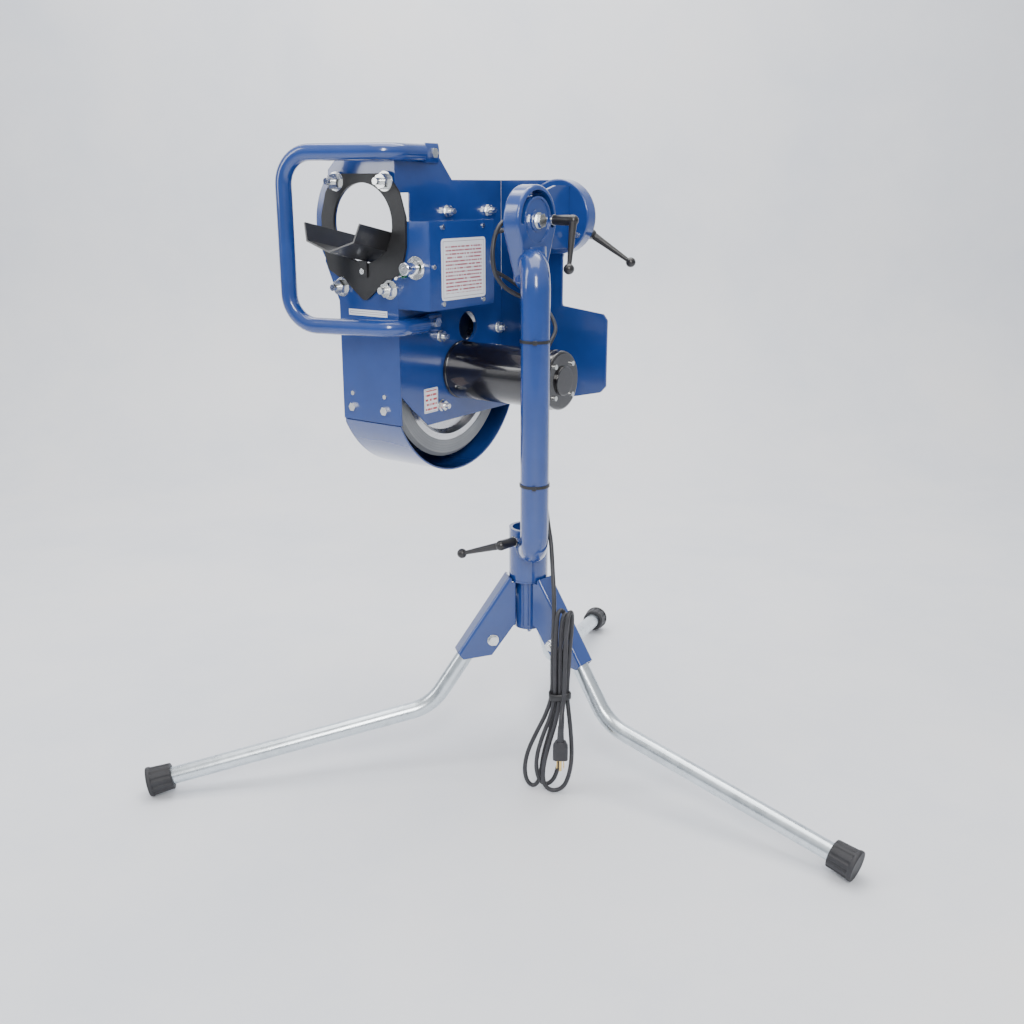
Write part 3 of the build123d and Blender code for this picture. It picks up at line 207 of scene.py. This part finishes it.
def turned(name, color, roughness, rings, origin, axis_scale=(0, 1, 1), metallic=1.0, scuff=0.85):
    """Something turned about the X axis: rings about an origin, and blotchy wear."""
    material, tree, principled = shader(name, color, roughness, metallic)
    flat = place(tree, axis_scale, origin)
    reach = node(tree, "ShaderNodeVectorMath", operation="LENGTH")
    tree.links.new(flat, reach.inputs[0])
    spin = node(tree, "ShaderNodeTexNoise", noise_dimensions="1D", Scale=rings, Detail=5.0, Roughness=0.7)
    tree.links.new(reach.outputs["Value"], spin.inputs["W"])
    cloud = grain(tree, place(tree), 14.0, 6.0, 0.65)
    both = node(tree, "ShaderNodeMath", operation="MULTIPLY")
    tree.links.new(spin.outputs[0], both.inputs[0])
    tree.links.new(cloud, both.inputs[1])
    shade = ramp(tree, both.outputs[0], [(0.1, tinted(color, scuff)), (0.4, tinted(color, 1.1))])
    tree.links.new(shade, principled.inputs["Base Color"])
    tree.links.new(span(tree, cloud, roughness - 0.07, roughness + 0.16), principled.inputs["Roughness"])
    bump(tree, principled, spin.outputs[0], 0.0002, 0.5, 0.0006)
    return material


def printed(name, line_pitch, low, high, ink, accent):
    """A white notice: a thin border and rows of plain coloured bars, with no lettering."""
    material, tree, principled = shader(name, (0.86, 0.87, 0.9), 0.32)
    coordinates = node(tree, "ShaderNodeTexCoord")
    axes = node(tree, "ShaderNodeSeparateXYZ")
    tree.links.new(coordinates.outputs["Object"], axes.inputs[0])
    along = axes.outputs["Y"] if high.y - low.y > 0.01 else axes.outputs["X"]
    first, last = (low.y, high.y) if high.y - low.y > 0.01 else (low.x, high.x)

    def maths(operation, a, b):
        made = node(tree, "ShaderNodeMath", operation=operation)
        for spot, value in enumerate((a, b)):
            if isinstance(value, (int, float)):
                made.inputs[spot].default_value = value
            else:
                tree.links.new(value, made.inputs[spot])
        return made.outputs[0]

    row = maths("DIVIDE", maths("SUBTRACT", axes.outputs["Z"], low.z), line_pitch)
    index = maths("FLOOR", row, 0.0)
    inked = maths("GREATER_THAN", maths("FRACT", row, 0.0), 0.56)
    words = node(tree, "ShaderNodeTexNoise", noise_dimensions="2D", Scale=1.0, Detail=1.0)
    spot = node(tree, "ShaderNodeCombineXYZ")
    tree.links.new(maths("MULTIPLY", along, 330.0), spot.inputs[0])
    tree.links.new(maths("MULTIPLY", index, 7.31), spot.inputs[1])
    tree.links.new(spot.outputs[0], words.inputs["Vector"])
    broken = maths("GREATER_THAN", words.outputs[0], 0.4)
    margin = (last - first) * 0.09
    inside = maths("MULTIPLY", maths("GREATER_THAN", along, first + margin),
                   maths("LESS_THAN", along, last - margin))
    tall = maths("MULTIPLY", maths("GREATER_THAN", axes.outputs["Z"], low.z + margin),
                 maths("LESS_THAN", axes.outputs["Z"], high.z - margin))
    mark = maths("MULTIPLY", maths("MULTIPLY", inked, broken), maths("MULTIPLY", inside, tall))
    lining = (last - first) * 0.035
    ring_low = maths("MINIMUM", maths("SUBTRACT", along, first), maths("SUBTRACT", axes.outputs["Z"], low.z))
    ring_high = maths("MINIMUM", maths("SUBTRACT", last, along), maths("SUBTRACT", high.z, axes.outputs["Z"]))
    rim = maths("MINIMUM", ring_low, ring_high)
    border = maths("MULTIPLY", maths("GREATER_THAN", rim, lining), maths("LESS_THAN", rim, lining + 0.0009))
    colored = node(tree, "ShaderNodeMix", data_type="RGBA")
    colored.inputs["A"].default_value = (0.86, 0.87, 0.9, 1.0)
    colored.inputs["B"].default_value = (*ink, 1.0)
    tree.links.new(mark, colored.inputs["Factor"])
    framed = node(tree, "ShaderNodeMix", data_type="RGBA")
    framed.inputs["B"].default_value = (*accent, 1.0)
    tree.links.new(border, framed.inputs["Factor"])
    tree.links.new(colored.outputs["Result"], framed.inputs["A"])
    tree.links.new(framed.outputs["Result"], principled.inputs["Base Color"])
    bump(tree, principled, grain(tree, place(tree), 300.0), 0.0001, 0.3)
    return material


blue = (0.014, 0.052, 0.235)
paint = enamel("blue_paint", blue, 0.2, 0.9, 0.0022)
galvanised = plated("galvanised", (0.70, 0.76, 0.80), 0.25, spangle=55.0)
zinc = plated("zinc_fastener", (0.80, 0.81, 0.80), 0.22)
chrome = plated("chrome", (0.86, 0.86, 0.87), 0.12)
steel = plated("shaft_steel", (0.60, 0.60, 0.61), 0.3, streak=(0.2, 4, 4))
black_enamel = enamel("motor_black", (0.007, 0.006, 0.008), 0.2, 0.9)
lever_coat = enamel("lever_black", (0.013, 0.012, 0.013), 0.34, 0.35)
tray_coat = enamel("tray_black", (0.012, 0.012, 0.013), 0.36, 0.3)
ring_plastic = rubbery("ring_black", (0.014, 0.014, 0.015), 0.42, 350.0)
tip_rubber = rubbery("tip_rubber", (0.018, 0.018, 0.021), 0.55, 380.0)
cord_rubber = rubbery("cord_black", (0.024, 0.024, 0.028), 0.42, 700.0)
plug_plastic = rubbery("plug_black", (0.022, 0.022, 0.026), 0.45, 600.0)
nylon = rubbery("nylon_black", (0.015, 0.015, 0.017), 0.38, 450.0)
pad_rubber = rubbery("pad_rubber", (0.02, 0.02, 0.02), 0.7, 300.0)
board = enamel("board_green", (0.02, 0.16, 0.07), 0.35, 0.4)
iron = plated("armature_iron", (0.34, 0.28, 0.22), 0.45, streak=(8, 1, 1))
brass = plated("brass", (0.83, 0.60, 0.22), 0.2)
urethane = turned("urethane_grey", (0.27, 0.28, 0.29), 0.5, 260.0, wheel_axis, metallic=0.0, scuff=0.72)
alloy = turned("rim_aluminium", (0.82, 0.82, 0.83), 0.22, 420.0, wheel_axis, scuff=0.8)

by_slot = {
    "blue_paint": paint, "galvanised": galvanised, "zinc_fastener": zinc, "chrome": chrome,
    "tip_rubber": tip_rubber, "motor_black": black_enamel, "tray_black": tray_coat,
    "ring_black": ring_plastic, "urethane_grey": urethane, "rim_aluminium": alloy,
    "shaft_steel": steel, "armature_iron": iron, "lever_black": lever_coat, "cord_black": cord_rubber,
    "plug_black": plug_plastic, "brass": brass, "pad_rubber": pad_rubber, "board_green": board,
    "nylon_black": nylon, "label_white": paint,
}
for entry in frame["record"]["subparts"]:
    piece = nodes[entry["node"]]
    if not piece.data.materials:
        piece.data.materials.append(None)
    for slot in piece.material_slots:
        slot.material = by_slot[entry["material_slot"]]


# ---------------------------------------------------------------- mesh helpers
def finished(name, mesh, material, body, smooth=True):
    """Links a bmesh as a piece that rides on a body."""
    data = bpy.data.meshes.new(name)
    mesh.normal_update()
    mesh.to_mesh(data)
    mesh.free()
    data.materials.append(material)
    for face in data.polygons:
        face.use_smooth = smooth
    piece = bpy.data.objects.new(name, data)
    scene.collection.objects.link(piece)
    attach(piece, body)
    return piece


def basis(forward, side=UP):
    """Two unit directions square to a forward direction."""
    across = forward.cross(side)
    if across.length < 1e-4:
        across = forward.cross(Vector((1, 0, 0)))
    across.normalize()
    return across, across.cross(forward).normalized()


def lathe(mesh, foot, direction, profile, sides=48, flute=None, closed=True):
    """Turns a profile of (radius, distance) about a line; flute(radius, distance, angle) moves the radius."""
    direction = direction.normalized()
    across, over = basis(direction)
    rings = []
    for radius, distance in profile:
        ring = []
        for step in range(sides):
            angle = 2 * pi * step / sides
            reach = flute(radius, distance, angle) if flute else radius
            ring.append(mesh.verts.new(foot + direction * distance
                                       + (across * cos(angle) + over * sin(angle)) * reach))
        rings.append(ring)
    for ring, following in zip(rings, rings[1:]):
        for step in range(sides):
            after = (step + 1) % sides
            mesh.faces.new((ring[step], following[step], following[after], ring[after]))
    if closed:
        mesh.faces.new(rings[0])
        mesh.faces.new(rings[-1][::-1])


def bead(mesh, points, thick, seed=0.0, closed=False):
    """A weld bead: a lumpy round cord of metal along a line of points."""
    sides = 8
    rings = []
    count = len(points)
    for index, point in enumerate(points):
        before = points[index - 1] if index or closed else point
        after = points[(index + 1) % count] if index < count - 1 or closed else point
        forward = (after - before).normalized()
        across, over = basis(forward)
        swell = thick * (1 + 0.16 * sin(index * 1.9) + 0.22 * noise.noise(Vector((index * 0.7, seed, 0))))
        rings.append([mesh.verts.new(point + (across * cos(2 * pi * k / sides)
                                              + over * sin(2 * pi * k / sides)) * swell)
                      for k in range(sides)])
    pairs = list(zip(rings, rings[1:])) + ([(rings[-1], rings[0])] if closed else [])
    for ring, following in pairs:
        for step in range(sides):
            other = (step + 1) % sides
            mesh.faces.new((ring[step], following[step], following[other], ring[other]))
    if not closed:
        mesh.faces.new(rings[0][::-1])
        mesh.faces.new(rings[-1])


# ---------------------------------------------------------------- power cord
cord_across = 0.008
sideways = Vector((0.819, 0.574, 0))
forward = Vector((0.574, -0.819, 0))
hank_top = at(0.125, -0.071, 0.343)
lean = 0.031 / 0.339  # the hank leans forward as it goes down


def hung(side, depth, z):
    """A place in the hank: sideways and forward of its leaning middle plane, at a height."""
    return Vector((hank_top.x, hank_top.y, z)) + sideways * side + forward * (depth + lean * (hank_top.z - z))


def free(side, depth, z):
    """A place on the free stretch above the hank, measured from the hank's top without its lean."""
    return Vector((hank_top.x, hank_top.y, z)) + sideways * side + forward * depth


cord_exit = at(0.0541, -0.0262, 0.545)
drop = [cord_exit, at(0.0565, -0.0262, 0.507), at(0.0634, -0.0286, 0.478), at(0.0719, -0.0332, 0.452),
        at(0.0806, -0.0430, 0.427), free(-0.0190, -0.0300, 0.400), free(-0.0175, -0.0180, 0.376)]
# each turn: (sideways, height) down the left, round the belly and up the right
turns = [
    dict(depth=-0.0088, tie=(-0.019, -0.0045, -0.0105, -0.0045),
         down=[(-0.017, 0.335), (-0.0185, 0.290), (-0.020, 0.240)],
         belly=[(-0.030, 0.146), (-0.048, 0.110), (-0.064, 0.074), (-0.070, 0.042), (-0.066, 0.016),
                (-0.054, 0.0045), (-0.043, 0.014), (-0.039, 0.036), (-0.035, 0.068), (-0.025, 0.106), (-0.015, 0.146)],
         up=[(-0.010, 0.240), (-0.004, 0.290), (0.005, 0.326)]),
    dict(depth=0.0, tie=(-0.0145, 0.0045, -0.002, -0.0045),
         down=[(-0.013, 0.318), (-0.0145, 0.280), (-0.015, 0.235)],
         belly=[(-0.022, 0.146), (-0.036, 0.110), (-0.046, 0.076), (-0.049, 0.048), (-0.043, 0.022),
                (-0.030, 0.0125), (-0.016, 0.022), (-0.008, 0.046), (-0.004, 0.076), (-0.002, 0.110), (-0.001, 0.146)],
         up=[(-0.001, 0.235), (0.003, 0.280), (0.010, 0.318)]),
    dict(depth=0.0088, tie=(-0.006, 0.0045, 0.0065, -0.0045),
         down=[(-0.004, 0.318), (-0.006, 0.280), (-0.0065, 0.235)],
         belly=[(-0.011, 0.146), (-0.022, 0.108), (-0.032, 0.070), (-0.037, 0.038), (-0.033, 0.014),
                (-0.017, 0.0045), (0.002, 0.012), (0.012, 0.036), (0.0165, 0.068), (0.0155, 0.104), (0.0115, 0.146)],
         up=[(0.0095, 0.235), (0.0125, 0.285), (0.0155, 0.322)]),
]
folds = [[(-0.002, -0.004, 0.345), (-0.011, 0.002, 0.342)], [(0.006, 0.002, 0.339), (-0.001, 0.008, 0.338)],
         [(0.014, 0.004, 0.344), (0.008, 0.0125, 0.344)]]
tie_z = 0.186
route = list(drop)
for turn, fold in zip(turns, folds):
    left, left_depth, right, right_depth = turn["tie"]
    route += [hung(side, left_depth * 0.8, z) for side, z in turn["down"]]
    route.append(hung(left, left_depth, tie_z))
    route += [hung(side, turn["depth"], z) for side, z in turn["belly"]]
    route.append(hung(right, right_depth, tie_z))
    route += [hung(side, right_depth * 0.8, z) for side, z in turn["up"]]
    route += [hung(side, depth, z) for side, depth, z in fold]
plug_low, plug_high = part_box("plug_body")
plug_top = Vector(((plug_low.x + plug_high.x) / 2, (plug_low.y + plug_high.y) / 2, plug_high.z))
route += [hung(0.004, 0.015, 0.318), hung(0.003, 0.014, 0.280), hung(0.002, 0.0125, 0.235),
          hung(0.001, 0.0125, tie_z), hung(-0.002, 0.018, 0.162),
          plug_top + Vector((0, 0, 0.012)), plug_top + Vector((0, 0, -0.002))]

line = bpy.data.curves.new("power_cord", "CURVE")
line.dimensions = "3D"
line.bevel_depth = cord_across / 2
line.bevel_resolution = 5
line.resolution_u = 8
line.use_fill_caps = True
spline = line.splines.new("NURBS")
spline.points.add(len(route) - 1)
for point, place_at in zip(spline.points, route):
    point.co = (*place_at, 1.0)
spline.order_u = 3
spline.use_endpoint_u = True
line.materials.append(cord_rubber)
cord_curve = bpy.data.objects.new("power_cord", line)
scene.collection.objects.link(cord_curve)

# the cord bends where the turning mast hands it to the standing hank, so it is made a mesh
bare = line.copy()
bare.bevel_depth = 0.0
bare_curve = bpy.data.objects.new("power_cord_line", bare)
scene.collection.objects.link(bare_curve)
bpy.context.view_layer.update()
depsgraph = bpy.context.evaluated_depsgraph_get()
centre_mesh = bpy.data.meshes.new_from_object(bare_curve.evaluated_get(depsgraph))
tube = bpy.data.meshes.new_from_object(cord_curve.evaluated_get(depsgraph))
for curve_piece in (cord_curve, bare_curve):
    bpy.data.objects.remove(curve_piece)
tube.materials.clear()
tube.materials.append(cord_rubber)
for face in tube.polygons:
    face.use_smooth = True
power_cord = bpy.data.objects.new("power_cord", tube)
scene.collection.objects.link(power_cord)
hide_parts("cord_drop", "cord_hank", "cord_tail")
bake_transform(power_cord)

# hook-and-loop tie round the hank's waist
mesh = bmesh.new()
tie_middle = hung(-0.0058, 0.001, tie_z)
bands = []
for height, swell in ((-0.0065, 0.0), (-0.0045, 0.0012), (0.0045, 0.0012), (0.0065, 0.0)):
    ring = []
    for step in range(48):
        angle = 2 * pi * step / 48
        reach = (abs(cos(angle)) ** 2.6 + abs(sin(angle)) ** 2.6) ** (-1 / 2.6)
        ring.append(mesh.verts.new(tie_middle + sideways * (0.0192 + swell) * reach * cos(angle)
                                   + forward * (0.0128 + swell) * reach * sin(angle)
                                   + UP * (height + 0.0012 * sin(2 * angle))
                                   - forward * lean * height))
    bands.append(ring)
inner = [mesh.verts.new(tie_middle + (v.co - tie_middle) * 0.9) for v in bands[-1]]
inner_low = [mesh.verts.new(tie_middle + (v.co - tie_middle) * 0.9) for v in bands[0]]
for ring, following in zip([inner_low, *bands], [*bands, inner]):
    for step in range(48):
        after = (step + 1) % 48
        mesh.faces.new((ring[step], ring[after], following[after], following[step]))
for step in range(48):
    after = (step + 1) % 48
    mesh.faces.new((inner[step], inner[after], inner_low[after], inner_low[step]))
finished("hank_tie", mesh, nylon, "base")

# ---------------------------------------------------------------- notices
notice_spots = [
    ("notice_box", Vector((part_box("control_cover")[1].x, hub.y - 0.102, 0.8785)), (0, 0.128, 0.106), 0.0062),
    ("notice_side", Vector((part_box("side_plate_right")[1].x, hub.y - 0.067, 0.664)),
     (0, 0.040, 0.046), 0.0088),
    ("notice_feed", Vector((hub.x - 0.308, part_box("feed_plate")[0].y, 0.8465)), (0.092, 0, 0.011), 0.0036),
]
first = True
for name, corner, size, pitch in notice_spots:
    width, depth, tall = size
    outward = Vector((1, 0, 0)) if depth else Vector((0, -1, 0))
    far = corner + Vector(size)
    ink = (0.42, 0.10, 0.13) if name == "notice_box" else (0.50, 0.04, 0.05)
    material = printed(name, pitch, corner, far, ink, (0.35, 0.30, 0.36))
    mesh = bmesh.new()
    outline = []
    round_r = min(width or depth, tall) * 0.06
    for cx, cz, start in ((1, 1, 0), (0, 1, 90), (0, 0, 180), (1, 0, 270)):
        for step in range(5):
            angle = radians(start + 22.5 * step)
            along = (width or depth) * cx + (round_r if not cx else -round_r) + round_r * cos(angle)
            high = tall * cz + (round_r if not cz else -round_r) + round_r * sin(angle)
            outline.append(corner + (Vector((0, along, high)) if depth else Vector((along, 0, high))))
    if not depth:
        outline.reverse()
    back = [mesh.verts.new(p) for p in outline]
    face = [mesh.verts.new(p + outward * 0.0006) for p in outline]
    mesh.faces.new(face)
    mesh.faces.new(back[::-1])
    for step in range(len(outline)):
        after = (step + 1) % len(outline)
        mesh.faces.new((back[step], back[after], face[after], face[step]))
    sheet = finished(name, mesh, material, "head", smooth=False)
    if first:
        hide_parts("notice_plates")
        first = False

# ---------------------------------------------------------------- ribbed rubber tips
leg_angles = {"left": radians(-41.0), "right": radians(85.0), "rear": radians(199.0)}
leg_reach = {"left": 0.718, "right": 0.682, "rear": 0.660}
bend_reach, bend_high = 0.192, 0.1170
mesh = bmesh.new()
for leg, angle in leg_angles.items():
    outward = Vector((sin(angle), -cos(angle), 0))
    foot = hub + outward * leg_reach[leg] + UP * 0.0255
    direction = (foot - hub - outward * bend_reach - UP * bend_high).normalized()

    def flute(radius, distance, around):
        if -0.0435 < distance < -0.0085 and radius > 0.02:
            return radius - 0.0019 * max(0.0, cos(12 * around)) ** 0.35
        return radius

    lathe(mesh, foot, direction,
          [(0.01590, -0.0100), (0.01590, -0.0450), (0.0218, -0.0450), (0.0236, -0.0442), (0.0241, -0.0425),
           (0.0242, -0.0400), (0.0245, -0.0320), (0.0249, -0.0240), (0.0253, -0.0160), (0.0256, -0.0100),
           (0.0256, -0.0086), (0.0262, -0.0078), (0.0270, -0.0062), (0.0270, -0.0020), (0.0262, -0.0005),
           (0.0240, 0.0), (0.0205, -0.0010), (0.0060, -0.0010)], sides=144, flute=flute)
for vertex in mesh.verts:
    vertex.co.z = max(vertex.co.z, 0.0)
tips = finished("ribbed_tips", mesh, tip_rubber, "base")
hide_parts("leg_tips")

# ---------------------------------------------------------------- weld beads
mesh = bmesh.new()
for azimuth in leg_angles.values():
    outward = Vector((sin(azimuth), -cos(azimuth), 0))
    side = Vector((cos(azimuth), sin(azimuth), 0))
    for edge in (-1, 1):
        reach = (0.025**2 - 0.0199**2) ** 0.5
        points = [hub + outward * (reach + 0.0004) + side * edge * 0.0199 + UP * (0.272 + 0.0030 * k)
                  for k in range(29)]
        bead(mesh, points, 0.0017, seed=azimuth + edge)
finished("socket_welds", mesh, paint, "base")

mesh = bmesh.new()
yoke_dir = Vector((0.669, -0.743, 0))
yoke_side = Vector((0.743, 0.669, 0))
saddle = []
for step in range(60):
    angle = 2 * pi * step / 60
    sideways_off = 0.0256 * cos(angle)
    reach = (0.0366**2 - sideways_off**2) ** 0.5
    saddle.append(hub + yoke_dir * reach + yoke_side * sideways_off + UP * (0.431 + 0.0256 * sin(angle)))
bead(mesh, saddle, 0.0024, 1.0, closed=True)
saddle = []
for step in range(60):
    angle = 2 * pi * step / 60
    sideways_off = 0.0256 * cos(angle)
    reach = max(0.0, 0.0292**2 - sideways_off**2) ** 0.5
    height = 0.945 + 0.0256 * sin(angle)
    if height < 0.962:
        saddle.append(hub + yoke_dir * reach + yoke_side * sideways_off + UP * height)
bead(mesh, saddle[20:] + saddle[:20], 0.0024, 2.0)
finished("yoke_welds", mesh, paint, "mast")

# ---------------------------------------------------------------- motor end
end_low, end_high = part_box("motor_end_bell")
motor_mid = Vector((0, (end_low.y + end_high.y) / 2, (end_low.z + end_high.z) / 2))
end_x = end_high.x
mesh = bmesh.new()
for angle in (radians(0), radians(180)):
    spot = motor_mid + Vector((end_x - 0.018, 0.054 * cos(angle), 0.054 * sin(angle)))
    outward = Vector((0, cos(angle), sin(angle)))
    lathe(mesh, spot - outward * 0.004, outward,
          [(0.0085, 0.0), (0.0085, 0.0058), (0.0078, 0.0064), (0.0072, 0.0064), (0.0068, 0.0056),
           (0.0015, 0.0056)],
          sides=24)
lathe(mesh, motor_mid + Vector((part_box("motor_body")[0].x + 0.0004, 0, 0)), Vector((1, 0, 0)),
      [(0.0542, 0.0), (0.0552, 0.0012), (0.0552, 0.0060), (0.0542, 0.0072)], sides=96, closed=False)
lathe(mesh, motor_mid + Vector((end_low.x - 0.003, 0, 0)), Vector((1, 0, 0)),
      [(0.0541, 0.0), (0.0547, 0.0008), (0.0547, 0.0052), (0.0541, 0.0060)], sides=96, closed=False)
finished("motor_trim", mesh, black_enamel, "head")

# rubber sleeves where the lead crosses the roll and pitch axes
mesh = bmesh.new()
for spot in (at(-0.0456, 0.0435, 1.0178), at(-0.0456, 0.0075, 1.0166)):
    lathe(mesh, spot, Vector((0, -1, -0.02)),
          [(0.0042, 0.0), (0.0054, 0.0), (0.0060, 0.001), (0.0060, 0.013), (0.0054, 0.014), (0.0042, 0.014)],
          sides=28)
finished("lead_sleeves", mesh, nylon, "bracket")

# cap screws on the wheel's web
rim_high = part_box("wheel_rim")[1]
mesh = bmesh.new()
web_x = rim_high.x - 0.018
for step in range(6):
    angle = radians(30 + 60 * step)
    spot = Vector((web_x, wheel_axis.y + 0.092 * cos(angle), wheel_axis.z + 0.092 * sin(angle)))
    lathe(mesh, spot, Vector((1, 0, 0)),
          [(0.0062, 0.0), (0.0062, 0.0042), (0.0056, 0.0050), (0.0032, 0.0050), (0.0030, 0.0022),
           (0.0006, 0.0022)],
          sides=24)
finished("wheel_screws", mesh, zinc, "wheel")

# ---------------------------------------------------------------- floor, wall and light
material, tree, principled = shader("studio_floor", (0.80, 0.82, 0.86), 0.62)
where = place(tree)
mottle = grain(tree, where, 1.6, 8.0, 0.62)
floor_tones = [(0.3, (0.72, 0.75, 0.81)), (0.55, (0.80, 0.815, 0.85)), (0.75, (0.84, 0.84, 0.85))]
tree.links.new(ramp(tree, mottle, floor_tones), principled.inputs["Base Color"])
bump(tree, principled, grain(tree, where, 18.0), 0.001, 0.15)
mesh = bmesh.new()
away = Vector((look.x, look.y, 0)).normalized()
right = Vector((-away.y, away.x, 0)) * -1
sweep = [(-4.0, 0.0), (1.9, 0.0)]
sweep += [(1.9 + 0.8 * sin(radians(a)), 0.8 - 0.8 * cos(radians(a))) for a in range(6, 91, 6)]
sweep += [(2.7, 5.0)]
columns = []
for off in (-6.0, 6.0):
    columns.append([mesh.verts.new(hub + away * distance + right * off + UP * (height - 0.0005))
                    for distance, height in sweep])
for step in range(len(sweep) - 1):
    mesh.faces.new((columns[0][step], columns[1][step], columns[1][step + 1], columns[0][step + 1]))
data = bpy.data.meshes.new("studio_floor")
mesh.to_mesh(data)
mesh.free()
data.materials.append(material)
for face in data.polygons:
    face.use_smooth = True
floor = bpy.data.objects.new("studio_floor", data)
scene.collection.objects.link(floor)


def lamp(name, spot, target, size, power, color=(1, 1, 1)):
    """A square soft light that faces a target."""
    light = bpy.data.lights.new(name, "AREA")
    light.shape = "RECTANGLE"
    light.size, light.size_y = size
    light.energy = power
    light.color = color
    lit = bpy.data.objects.new(name, light)
    lit.location = spot
    lit.rotation_euler = (target - spot).to_track_quat("-Z", "Y").to_euler()
    scene.collection.objects.link(lit)


middle = at(-0.05, 0.0, 0.7)
lamp("key", at(1.9, -2.4, 2.4), middle, (0.6, 1.7), 78.0, (1.0, 0.98, 0.95))
lamp("left", at(-2.0, -2.0, 2.0), middle, (0.6, 2.2), 30.0, (0.98, 0.99, 1.0))
lamp("top", at(-0.2, 0.2, 3.4), middle, (2.6, 2.6), 74.0)
lamp("wall", at(-1.0, 0.9, 3.2), hub + away * 2.7 + UP * 1.3, (3.2, 1.2), 58.0, (1.0, 0.97, 0.93))
world = bpy.data.worlds.new("studio")
world.use_nodes = True
tree = world.node_tree
direction = node(tree, "ShaderNodeTexCoord")
parts = node(tree, "ShaderNodeSeparateXYZ")
tree.links.new(direction.outputs["Generated"], parts.inputs[0])
sky_tones = [(0.30, (0.20, 0.23, 0.28)), (0.52, (0.34, 0.37, 0.42)), (0.70, (0.75, 0.77, 0.80)),
             (1.0, (1.0, 1.0, 1.0))]
sky = ramp(tree, span(tree, parts.outputs["Z"], 0.5, 1.0), sky_tones)
tree.links.new(sky, tree.nodes["Background"].inputs["Color"])
tree.nodes["Background"].inputs["Strength"].default_value = 0.92
scene.world = world
